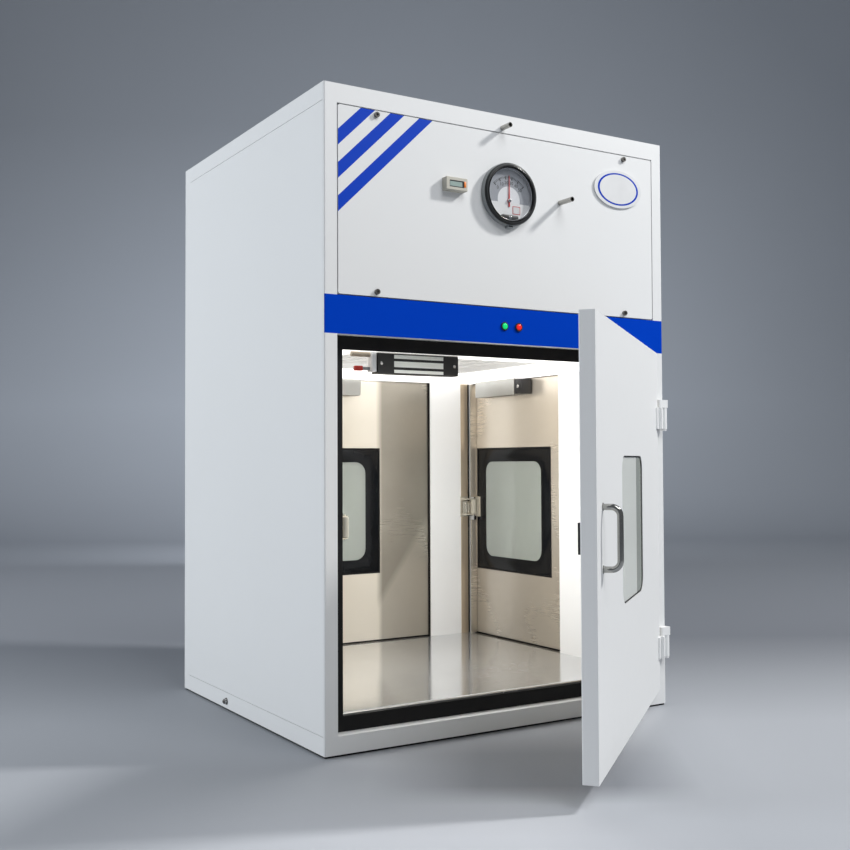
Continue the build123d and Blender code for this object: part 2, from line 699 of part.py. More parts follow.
gauge_plane = Plane(origin=front_face.from_local_coords((*gauge_at, 0)), x_dir=(1, 0, 0), z_dir=(0, -1, 0))
meter_plane = Plane(origin=front_face.from_local_coords((*meter_at, 0)), x_dir=(1, 0, 0), z_dir=(0, -1, 0))

with BuildPart() as service_cover:
    with BuildSketch(front_face):
        with Locations(((cover_edges[0] + cover_edges[1]) / 2, (cover_edges[2] + cover_edges[3]) / 2)):
            RectangleRounded(cover_edges[1] - cover_edges[0] - 2 * cover_gap,
                             cover_edges[3] - cover_edges[2] - 2 * cover_gap, cover_corner)
    extrude(amount=-cover_return)
    with BuildSketch(front_face.offset(-sheet)):
        with Locations(((cover_edges[0] + cover_edges[1]) / 2, (cover_edges[2] + cover_edges[3]) / 2)):
            RectangleRounded(cover_edges[1] - cover_edges[0] - 2 * cover_gap - 2 * sheet,
                             cover_edges[3] - cover_edges[2] - 2 * cover_gap - 2 * sheet, cover_corner - sheet)
    extrude(amount=sheet - cover_return, mode=Mode.SUBTRACT)
    with BuildSketch(front_face):
        with Locations(screw_places):
            Circle(screw_radius + screw_play)
        with Locations(gauge_at):
            Circle(gauge_case_radius + screw_play)
        with Locations(meter_at):
            Rectangle(meter_body[0] + 2 * screw_play, meter_body[1] + 2 * screw_play)
        with Locations(test_port_at):
            Circle(port_shank_radius + screw_play)
    extrude(amount=-sheet, mode=Mode.SUBTRACT)
save(service_cover, "service_cover")

with BuildPart() as cover_screws:
    with BuildSketch(front_face):
        with Locations(screw_places):
            Circle(screw_head_radius)
    extrude(amount=screw_head_height)
    with BuildSketch(front_face):
        with Locations(screw_places):
            Circle(screw_radius)
    extrude(amount=-screw_length)
    with BuildSketch(front_face.offset(screw_head_height)):
        with Locations(screw_places):
            RegularPolygon(screw_head_radius / 2, 6)
    extrude(amount=-screw_head_height / 2, mode=Mode.SUBTRACT)
save(cover_screws, "cover_screws")

with BuildPart() as gauge_case:
    with BuildSketch(gauge_plane.offset(gauge_proud)):
        Circle(gauge_bezel_radius)
    extrude(amount=-gauge_proud)
    fillet(gauge_case.faces().sort_by(Axis.Y)[0].edges(), 4)
    with BuildSketch(gauge_plane):
        Circle(gauge_case_radius)
    extrude(amount=-gauge_case_depth)
    with BuildSketch(gauge_plane.offset(gauge_proud)):
        Circle(gauge_sight_radius)
    extrude(amount=-gauge_dial_depth - gauge_dial_thickness, mode=Mode.SUBTRACT)
    with BuildSketch(gauge_plane):
        with Locations((0, -gauge_bezel_radius)):
            Rectangle(9, 7)
    extrude(amount=gauge_proud - 5)
    dial_back = gauge_proud - gauge_dial_depth - gauge_dial_thickness
    with BuildSketch(gauge_plane.offset(dial_back)):
        with Locations((0, -pointer_pivot_drop)):
            Circle(pivot_radius)
    extrude(amount=gauge_dial_thickness + 4)
save(gauge_case, "gauge_case")

with BuildPart() as gauge_dial:
    with BuildSketch(gauge_plane.offset(dial_back)):
        Circle(gauge_sight_radius - screw_play)
        with Locations((0, -pointer_pivot_drop)):
            Circle(pivot_radius + pivot_play, mode=Mode.SUBTRACT)
    extrude(amount=gauge_dial_thickness)
save(gauge_dial, "gauge_dial")

with BuildPart() as gauge_pointer:
    with BuildSketch(gauge_plane.offset(dial_back + gauge_dial_thickness + 1)):
        with Locations((0, -pointer_pivot_drop)):
            Circle(4)
        with BuildLine():
            Polyline((-1.6, -pointer_pivot_drop - pointer_tail), (1.6, -pointer_pivot_drop - pointer_tail),
                     (0.5, pointer_length - pointer_pivot_drop), (-0.5, pointer_length - pointer_pivot_drop),
                     close=True)
        make_face()
        with Locations((0, -pointer_pivot_drop)):
            Circle(pivot_radius + pivot_play, mode=Mode.SUBTRACT)
    extrude(amount=pointer_thickness)
save(gauge_pointer, "gauge_pointer")

with BuildPart() as gauge_lens:
    with BuildSketch(gauge_plane.offset(gauge_proud - 2)):
        Circle(gauge_sight_radius - screw_play)
    extrude(amount=-gauge_lens_thickness)
save(gauge_lens, "gauge_lens")

with BuildPart() as hour_meter:
    with BuildSketch(meter_plane.offset(meter_proud)):
        RectangleRounded(*meter_size, 2)
    extrude(amount=-meter_proud)
    chamfer(hour_meter.faces().sort_by(Axis.Y)[0].edges(), 1)
    with BuildSketch(meter_plane):
        Rectangle(meter_body[0], meter_body[1])
    extrude(amount=-meter_body[2])
    with BuildSketch(meter_plane.offset(meter_proud)):
        RectangleRounded(meter_window[0], meter_window[1], 1.5)
    extrude(amount=-meter_window[2], mode=Mode.SUBTRACT)
save(hour_meter, "hour_meter")

with BuildPart() as ports:
    for place, length in ((test_port_at, test_port_length), (top_port_at, top_port_length)):
        with BuildSketch(front_face):
            with Locations(place):
                Circle(port_radius)
        extrude(amount=length)
        with BuildSketch(front_face):
            with Locations(place):
                Circle(port_shank_radius)
        extrude(amount=-sheet - port_nut_height)
        with BuildSketch(front_face.offset(-sheet)):
            with Locations(place):
                RegularPolygon(port_nut_radius, 6)
        extrude(amount=-port_nut_height)
        with BuildSketch(front_face.offset(length)):
            with Locations(place):
                Circle(port_bore)
        extrude(amount=-length - sheet - port_nut_height, mode=Mode.SUBTRACT)
save(ports, "ports")

with BuildPart() as lamp_bezels:
    with BuildSketch(front_face):
        with Locations(lamp_places):
            Circle(lamp_bezel_radius)
            Circle(lamp_lens_radius, mode=Mode.SUBTRACT)
    extrude(amount=lamp_bezel_proud)
    chamfer(lamp_bezels.faces().sort_by(Axis.Y)[0].edges().group_by(SortBy.RADIUS)[-1], 0.8)
    with BuildSketch(front_face):
        with Locations(lamp_places):
            Circle(lamp_body_radius)
            Circle(lamp_lens_radius, mode=Mode.SUBTRACT)
    extrude(amount=-lamp_body_length)
save(lamp_bezels, "lamp_bezels")

for node, place in zip(("lamp_lens_green", "lamp_lens_red"), lamp_places):
    with BuildPart() as lens:
        with BuildSketch(front_face.offset(-fascia_thickness)):
            with Locations(place):
                Circle(lamp_lens_radius - 0.05)
        extrude(amount=fascia_thickness + lamp_lens_rise)
        fillet(lens.faces().sort_by(Axis.Y)[0].edges(), lamp_lens_rise - 1.2)
    save(lens, node)

# =============================================================================== filter and blower

filter_bottom = ceiling_height + ceiling_pan_rise
with BuildPart() as hepa_filter:
    low_x, high_x = pan_centre[0] - filter_size[0] / 2, pan_centre[0] + filter_size[0] / 2
    low_y, high_y = pan_centre[1] - filter_size[1] / 2, pan_centre[1] + filter_size[1] / 2
    slab(filter_bottom, filter_bottom + filter_size[2], low_x, high_x, low_y, high_y)
    slab(filter_bottom, filter_bottom + filter_size[2], low_x + filter_wall, high_x - filter_wall,
         low_y + filter_wall, high_y - filter_wall, mode=Mode.SUBTRACT)
    pleats = int((filter_size[0] - 2 * filter_wall) / pleat_pitch)
    pleat_run = filter_size[0] - 2 * filter_wall
    step = pleat_run / pleats
    low_z, high_z = filter_bottom + 8, filter_bottom + filter_size[2] - 8
    with BuildSketch(Plane(origin=(0, low_y + filter_wall, 0), x_dir=(1, 0, 0), z_dir=(0, -1, 0))):
        with BuildLine():
            lower = [(low_x + filter_wall + step * (i + (0.5 if k else 0)), high_z if k else low_z)
                     for i in range(pleats) for k in (0, 1)] + [(low_x + filter_wall + pleat_run, low_z)]
            upper = [(x, z + 4) for x, z in reversed(lower)]
            Polyline(*lower, *upper, close=True)
        make_face()
    extrude(amount=-(filter_size[1] - 2 * filter_wall))
save(hepa_filter, "hepa_filter")

fan_at = pan_centre
deck_bottom = deck_height - sheet
wheel_top = deck_bottom - inlet_gap
wheel_bottom = wheel_top - impeller_height
motor_top = wheel_bottom - 6
with BuildPart() as blower_deck:
    deck_box = (sheet - half_width, half_width - sheet, inner_front + 2 * sheet, inner_rear - 2 * sheet)
    slab(deck_bottom, deck_height + deck_flange, *deck_box)
    slab(deck_height, deck_height + deck_flange, deck_box[0] + sheet, deck_box[1] - sheet,
         deck_box[2], deck_box[3], mode=Mode.SUBTRACT)
    with BuildSketch(Plane.XY.offset(deck_bottom)):
        with Locations(fan_at):
            Circle(impeller_eye_radius + 12)
    extrude(amount=sheet, mode=Mode.SUBTRACT)
    # bellmouth: a rolled ring that leads the air down into the wheel's eye
    with BuildSketch(Plane(origin=(fan_at[0], fan_at[1], 0), x_dir=(1, 0, 0), z_dir=(0, -1, 0))):
        with BuildLine():
            Polyline((impeller_eye_radius + 20, deck_height), (impeller_eye_radius + 6, deck_height + 10),
                     (impeller_eye_radius - 4, deck_height - 4), (impeller_eye_radius - 6, wheel_top - 3),
                     (impeller_eye_radius - 4, wheel_top - 3), (impeller_eye_radius - 2, deck_height - 4),
                     (impeller_eye_radius + 7, deck_height + 8), (impeller_eye_radius + 18, deck_bottom),
                     (impeller_eye_radius + 20, deck_bottom), close=True)
        make_face()
    revolve(axis=Axis((fan_at[0], fan_at[1], 0), (0, 0, 1)))
    # four posts and the plate that carry the motor
    with BuildSketch(Plane.XY.offset(motor_top - motor_height)):
        with Locations(fan_at):
            with PolarLocations(impeller_radius + 22, 4, start_angle=45):
                Circle(motor_post_radius)
    extrude(amount=deck_bottom - motor_top + motor_height)
    with BuildSketch(Plane.XY.offset(motor_top - motor_height - 3)):
        with Locations(fan_at):
            with PolarLocations(0, 2, start_angle=45, angular_range=90):
                SlotOverall(2 * (impeller_radius + 22) + 40, 40)
    extrude(amount=3)
save(blower_deck, "blower_deck")

with BuildPart() as blower_motor:
    with BuildSketch(Plane.XY.offset(motor_top - motor_height)):
        with Locations(fan_at):
            Circle(motor_radius)
    extrude(amount=motor_height)
    fillet(blower_motor.faces().sort_by(Axis.Z)[-1].edges(), 8)
    with BuildSketch(Plane.XY.offset(motor_top - motor_height + 8)):
        with Locations(fan_at):
            with PolarLocations(motor_radius + 1, 12):
                Rectangle(10, 3)
    extrude(amount=motor_height - 20)
    with BuildSketch(Plane.XY.offset(motor_top)):
        with Locations(fan_at):
            Circle(shaft_radius)
    extrude(amount=wheel_bottom + 34 - motor_top)
save(blower_motor, "blower_motor")

with BuildPart() as impeller:
    with BuildSketch(Plane.XY.offset(wheel_bottom)):
        with Locations(fan_at):
            Circle(impeller_radius)
    extrude(amount=impeller_plate)
    with BuildSketch(Plane.XY.offset(wheel_bottom)):
        with Locations(fan_at):
            Circle(hub_radius)
    extrude(amount=30)
    with BuildSketch(Plane.XY.offset(wheel_top - impeller_plate)):
        with Locations(fan_at):
            Circle(impeller_radius)
            Circle(impeller_eye_radius, mode=Mode.SUBTRACT)
    extrude(amount=impeller_plate)
    blade_radius = (impeller_eye_radius + impeller_radius) / 2
    blade_length = (impeller_radius - impeller_eye_radius) / cos(radians(blade_lean)) * 0.86
    with BuildSketch(Plane.XY.offset(wheel_bottom + impeller_plate)):
        with Locations(fan_at):
            with PolarLocations(blade_radius, impeller_blades):
                Rectangle(blade_length, blade_thickness, rotation=blade_lean)
    extrude(amount=impeller_height - 2 * impeller_plate)
    with BuildSketch(Plane.XY.offset(wheel_bottom)):
        with Locations(fan_at):
            Circle(shaft_radius + shaft_play)
    extrude(amount=36, mode=Mode.SUBTRACT)
save(impeller, "impeller")

prefilter_bottom = deck_height + 10
with BuildPart() as prefilter:
    low_x, high_x = fan_at[0] - prefilter_size[0] / 2, fan_at[0] + prefilter_size[0] / 2
    low_y, high_y = fan_at[1] - prefilter_size[1] / 2, fan_at[1] + prefilter_size[1] / 2
    slab(deck_height, prefilter_bottom + prefilter_size[2], low_x, high_x, low_y, high_y)
    slab(deck_height, prefilter_bottom + prefilter_size[2], low_x + prefilter_wall, high_x - prefilter_wall,
         low_y + prefilter_wall, high_y - prefilter_wall, mode=Mode.SUBTRACT)
    slab(prefilter_bottom + 5, prefilter_bottom + 20, low_x + prefilter_wall, high_x - prefilter_wall,
         low_y + prefilter_wall, high_y - prefilter_wall)
save(prefilter, "prefilter")
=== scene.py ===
import math
import bpy
from mathutils import Matrix, Vector


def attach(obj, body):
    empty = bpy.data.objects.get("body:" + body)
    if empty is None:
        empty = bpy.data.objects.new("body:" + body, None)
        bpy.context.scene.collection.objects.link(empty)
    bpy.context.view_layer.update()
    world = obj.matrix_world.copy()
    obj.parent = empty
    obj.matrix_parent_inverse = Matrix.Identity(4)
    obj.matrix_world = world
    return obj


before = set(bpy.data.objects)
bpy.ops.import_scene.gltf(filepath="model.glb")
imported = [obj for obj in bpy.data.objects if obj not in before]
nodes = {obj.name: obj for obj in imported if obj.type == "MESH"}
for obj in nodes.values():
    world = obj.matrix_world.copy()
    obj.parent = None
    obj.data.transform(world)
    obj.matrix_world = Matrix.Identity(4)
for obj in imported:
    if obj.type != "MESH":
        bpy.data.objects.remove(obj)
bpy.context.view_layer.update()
print("frame loaded:", len(nodes), "nodes")

doorNames = ("front", "side", "rear")

camera = {"place": (-1.2653, -2.2069, 0.5217), "yaw": -32.833, "pitch": 91.702, "roll": -0.315,
          "lens": 48.07, "sensor": 36, "shiftX": -0.0582, "shiftY": 0.0033}


def makeCamera():
    bpy.ops.object.camera_add()
    view = bpy.context.object
    turn = (Matrix.Rotation(math.radians(camera["yaw"]), 4, "Z")
            @ Matrix.Rotation(math.radians(camera["pitch"]), 4, "X")
            @ Matrix.Rotation(math.radians(camera["roll"]), 4, "Z"))
    view.matrix_world = Matrix.Translation(camera["place"]) @ turn
    view.data.sensor_width = camera["sensor"]
    view.data.lens = camera["lens"]
    view.data.shift_x = camera["shiftX"]
    view.data.shift_y = camera["shiftY"]
    bpy.context.scene.camera = view


makeCamera()


class Wire:
    # a socket that takes part in written maths
    def __init__(self, finish, socket):
        self.finish = finish
        self.socket = socket

    def maths(self, operation, *others, clamp=False):
        return self.finish.node("ShaderNodeMath", {"operation": operation, "use_clamp": clamp},
                                [self, *others])

    def __add__(self, other):
        return self.maths("ADD", other)

    def __radd__(self, other):
        return self.maths("ADD", other)

    def __sub__(self, other):
        return self.maths("SUBTRACT", other)

    def __rsub__(self, other):
        return self.finish.node("ShaderNodeMath", {"operation": "SUBTRACT"}, [other, self])

    def __mul__(self, other):
        return self.maths("MULTIPLY", other)

    def __rmul__(self, other):
        return self.maths("MULTIPLY", other)

    def __lt__(self, other):
        return self.maths("LESS_THAN", other)

    def __gt__(self, other):
        return self.maths("GREATER_THAN", other)

    def size(self):
        return self.maths("ABSOLUTE")

    def limit(self):
        return self.maths("ADD", 0.0, clamp=True)


class Finish:
    # one material and its nodes
    def __init__(self, name, colour, roughness, metallic=0.0, **sockets):
        self.material = bpy.data.materials.new(name)
        self.material.use_nodes = True
        self.nodes = self.material.node_tree.nodes
        self.links = self.material.node_tree.links
        self.shader = self.nodes["Principled BSDF"]
        self.set("Base Color", (*colour, 1.0))
        self.set("Roughness", roughness)
        self.set("Metallic", metallic)
        for key, value in sockets.items():
            self.set(key.replace("_", " "), value)

    def join(self, value, socket):
        if isinstance(value, Wire):
            self.links.new(value.socket, socket)
        elif socket.type == "RGBA" and len(value) == 3:
            socket.default_value = (*value, 1.0)
        else:
            socket.default_value = value

    def node(self, kind, settings=None, inputs=(), output=0):
        made = self.nodes.new(kind)
        for key, value in (settings or {}).items():
            if key == "stops":
                ramp = made.color_ramp.elements
                for stop, (place, colour) in enumerate(value):
                    element = ramp[stop] if stop < 2 else ramp.new(place)
                    element.position = place
                    element.color = (*colour, 1.0)
            else:
                setattr(made, key, value)
        pairs = inputs.items() if isinstance(inputs, dict) else enumerate(inputs)
        for key, value in pairs:
            if value is not None:
                self.join(value, made.inputs[key])
        return Wire(self, made.outputs[output])

    def set(self, socket, value):
        self.join(value, self.shader.inputs[socket])

    def place(self):
        return self.node("ShaderNodeTexCoord", output="Object")

    def axes(self):
        parts = self.node("ShaderNodeSeparateXYZ", inputs=[self.place()])
        tree = parts.socket.node
        return tuple(Wire(self, tree.outputs[i]) for i in range(3))

    def noise(self, scale, detail=3.0, stretch=(1, 1, 1), roughness=0.5):
        spot = self.node("ShaderNodeMapping", {}, {"Vector": self.place(), "Scale": stretch})
        return self.node("ShaderNodeTexNoise", {},
                         {"Vector": spot, "Scale": scale, "Detail": detail, "Roughness": roughness})

    def mix(self, factor, first, second):
        made = self.nodes.new("ShaderNodeMix")
        made.data_type = "RGBA"
        for key, value in (("Factor", factor), ("A", first), ("B", second)):
            socket = next(s for s in made.inputs if s.name == key and s.enabled)
            self.join(value, socket)
        return Wire(self, next(s for s in made.outputs if s.enabled))

    def steps(self, value, fromLow, fromHigh, low=0.0, high=1.0):
        return self.node("ShaderNodeMapRange", {}, {"Value": value, "From Min": fromLow, "From Max": fromHigh,
                                                    "To Min": low, "To Max": high})

    def span(self, value, low, high):
        return self.steps(value, 0.0, 1.0, low, high)

    def bump(self, height, strength, distance):
        self.set("Normal", self.node("ShaderNodeBump", {}, {"Strength": strength, "Distance": distance,
                                                            "Height": height}))


paint = {"white": (0.79, 0.80, 0.805), "dull": (0.72, 0.73, 0.735), "roughness": (0.36, 0.5), "peel": 620.0,
         "peelDepth": 0.0003, "cloud": 3.0, "dust": 14.0, "dustHeight": 0.2}
blue = (0.0, 0.048, 0.50)
rubberBlack = (0.007, 0.007, 0.008)


def paintFinish(name, base, soiled, specular=0.35):
    # powder coat: orange peel, faint cloudiness and a little dust low down
    finish = Finish(name, base, 0.4, Specular_IOR_Level=specular)
    cloud = finish.noise(paint["cloud"], 4.0)
    height = finish.axes()[2]
    dust = finish.steps(height, 0.0, paint["dustHeight"], 0.3, 0.0) * finish.noise(paint["dust"], 5.0)
    finish.set("Base Color", finish.mix((cloud * 0.2 + dust).limit(), base, soiled))
    finish.set("Roughness", finish.span(finish.noise(40.0, 3.0), *paint["roughness"]))
    finish.bump(finish.noise(paint["peel"], 2.0), 0.05, paint["peelDepth"])
    return finish


# the diagonal reflection entry sets the slanting edge of a painted reflection on the door liners
steel = {"lines": 420.0, "tarnish": 2.4, "smudge": 16.0, "curl": 34.0, "patch": 7.0, "wisp": 0.018,
         "wispTint": (0.97, 0.97, 0.96), "depth": 0.0001,
         "diagonalReflection": {"slope": 1.47, "start": 0.045, "end": 0.010, "share": 0.3}}
alongX, alongZ, alongPost = (0.08, 2.0, 1.0), (0.05, 0.05, 3.0), (2.0, 2.0, 0.05)      # grain of each sheet


def steelFinish(name, colour, dark, roughness, grain, brushing=0.05, wisps=0.0, metallic=0.62, reflectionPatch=None):
    # brushed sheet: fine lines along the grain, broad tarnish, and worn wisps on the floor; where asked, a paler
    # patch of painted reflection
    finish = Finish(name, colour, roughness[0], metallic)
    lines = finish.noise(steel["lines"], 2.0, grain, 0.5)
    tarnish = finish.noise(steel["tarnish"], 3.0, roughness=0.45)
    smudge = finish.noise(steel["smudge"], 5.0, roughness=0.6)
    blend = finish.steps(tarnish, 0.35, 0.65) * 0.6 + finish.steps(smudge, 0.4, 0.75) * 0.25
    gloss = finish.steps(tarnish * 0.9 + lines * 0.1, 0.3, 0.7, *roughness)
    if wisps:
        curl = (finish.noise(steel["curl"], 2.0, (1.0, 2.4, 1.0)) - 0.5).size()
        patch = finish.steps(finish.noise(steel["patch"], 2.0), 0.5, 0.62)
        wisp = finish.steps(curl, 0.0, steel["wisp"], 1.0, 0.0) * patch
        blend = (blend - wisp * 0.5).limit()
        gloss = gloss + wisp * wisps
    tint = finish.mix(blend.limit(), colour, dark)
    if wisps:
        tint = finish.mix((wisp * 0.8).limit(), tint, steel["wispTint"])
    if reflectionPatch:
        # painted reflection: part of the sheet is painted paler, and a little paler below a slanting line
        axis, start, end, reflectionTint = reflectionPatch
        x, y, z = finish.axes()
        glare = steel["diagonalReflection"]
        diagonalReflection = finish.steps(z - x * glare["slope"], glare["start"], glare["end"]) * glare["share"]
        reflectionArea = finish.steps((x, y, z)[axis], start, end)
        tint = finish.mix(finish.steps(reflectionArea + diagonalReflection, 0.0, 1.0), tint, reflectionTint)
    finish.set("Base Color", tint)
    finish.set("Roughness", gloss)
    finish.bump(lines, brushing, steel["depth"])
    return finish


def metalFinish(name, colour, low, high, metallic=1.0):
    finish = Finish(name, colour, low, metallic)
    finish.set("Roughness", finish.span(finish.noise(70.0, 4.0), low, high))
    finish.set("Base Color", finish.mix(finish.noise(18.0, 4.0), colour, tuple(c * 0.86 for c in colour)))
    finish.bump(finish.noise(350.0, 3.0), 0.05, 0.0003)
    return finish


def plasticFinish(name, colour, low, high, grain=420.0, **sockets):
    finish = Finish(name, colour, low, 0.0, **sockets)
    finish.set("Roughness", finish.span(finish.noise(90.0, 3.0), low, high))
    finish.set("Base Color", finish.mix(finish.noise(25.0, 4.0), colour, tuple(c * 0.82 for c in colour)))
    finish.bump(finish.noise(grain, 2.0), 0.08, 0.0003)
    return finish


def glowFinish(name, colour, glow, strength):
    finish = Finish(name, colour, 0.25, 0.0)
    finish.set("Emission Color", glow if len(glow) == 4 else (*glow, 1.0))
    finish.set("Emission Strength", strength)
    finish.set("Roughness", finish.span(finish.noise(60.0, 2.0), 0.2, 0.3))
    return finish


def glassFinish(name, tint, roughness, clear=1.0):
    finish = Finish(name, tint, roughness, 0.0, Transmission_Weight=clear, IOR=1.45)
    smear = finish.noise(9.0, 5.0, (1, 1, 3))
    finish.set("Roughness", finish.steps(smear, 0.4, 0.8, roughness, roughness + 0.06))
    return finish


openAngle = math.radians(41)        # how far the front door is stored open
frontHinge = (0.392, -0.385)        # its hinge axis, seen from above
# painted shade band on the front pane, set by reach from the hinge axis
paneShadeBand = {"start": 0.333, "end": 0.337, "tint": (0.42, 0.45, 0.40)}      # reach from the hinge axis


def frontPaneFinish(name, tint, roughness, clear):
    # painted shade: a darker band is painted on the pane beside the hinges, where the deep inner jamb shows through
    finish = glassFinish(name, tint, roughness, clear)
    x, y, z = finish.axes()
    hx, hy = frontHinge
    reach = (x - hx) * -math.cos(openAngle) + (y - hy) * -math.sin(openAngle)
    band = finish.steps(reach, paneShadeBand["end"], paneShadeBand["start"])
    finish.set("Base Color", finish.mix(band, tint, paneShadeBand["tint"]))
    return finish


def clearFinish(name, tint, roughness, alpha):
    # thin clear cover that lets the lamps through to what it covers
    finish = Finish(name, tint, roughness, 0.0, Alpha=alpha, Specular_IOR_Level=1.0)
    finish.set("Roughness", finish.noise(60.0, 2.0) * 0.03 + roughness)
    return finish


stripe = {"corner": (-0.3725, 1.1675), "slope": 0.985, "starts": (0.0466, 0.107, 0.1673), "width": 0.0288,
          "front": -0.3745}


def coverFinish():
    # white coat with three slanted blue stripes across the top left corner
    finish = paintFinish("coverPaint", paint["white"], paint["dull"], 0.15)
    x, y, z = finish.axes()
    along = (x - stripe["corner"][0]) * stripe["slope"] + (stripe["corner"][1] - z)
    band = None
    for start in stripe["starts"]:
        one = (along > start) * (along < start + stripe["width"])
        band = one if band is None else band + one
    band = band * (y < stripe["front"])
    white = Wire(finish, finish.shader.inputs["Base Color"].links[0].from_socket)
    finish.set("Base Color", finish.mix(band, white, blue))
    return finish


lock = {"face": 0.0376, "half": 0.0885, "depth": (0.030, 0.0612), "top": 0.7251, "barHalf": 0.054,
        "barDepth": 0.0375, "bar": (0.93, 0.95, 0.90), "body": (0.02, 0.02, 0.02), "screwAt": 0.080,
        "screw": (0.0031, 0.0015)}     # face is how far the lock's body lies behind the cabinet's face
lockSpots = (       # middle, direction across the lock, direction out of the cabinet
    ((-0.184, -0.375, 0.706), (1, 0), (0, -1)),
    ((0.400, 0.1825, 0.706), (0, 1), (1, 0)),
    ((-0.065, 0.375, 0.706), (1, 0), (0, 1)))


def lockFinish():
    # black body, bright core bars, plain aluminium bracket
    finish = metalFinish("lockMetal", (0.60, 0.60, 0.58), 0.25, 0.4)
    x, y, z = finish.axes()
    start, end = lock["depth"]
    body = bars = None
    for (cx, cy, cz), across, out in lockSpots:
        side = ((x - cx) * across[0] + (y - cy) * across[1]).size()
        depth = ((x - cx) * -out[0] + (y - cy) * -out[1])
        near = (side < lock["half"]) * (depth > start) * (depth < end) * (z < lock["top"])
        front = (side < lock["barHalf"]) * (depth < lock["barDepth"]) * (depth > start)
        body = near if body is None else body + near
        bars = front if bars is None else bars + front
    dark = (body - bars).limit()
    base = Wire(finish, finish.shader.inputs["Base Color"].links[0].from_socket)
    base = finish.mix(bars.limit(), base, lock["bar"])
    finish.set("Base Color", finish.mix(dark, base, lock["body"]))
    finish.set("Metallic", 1.0 - dark * 0.8 - bars.limit() * 0.55)
    return finish


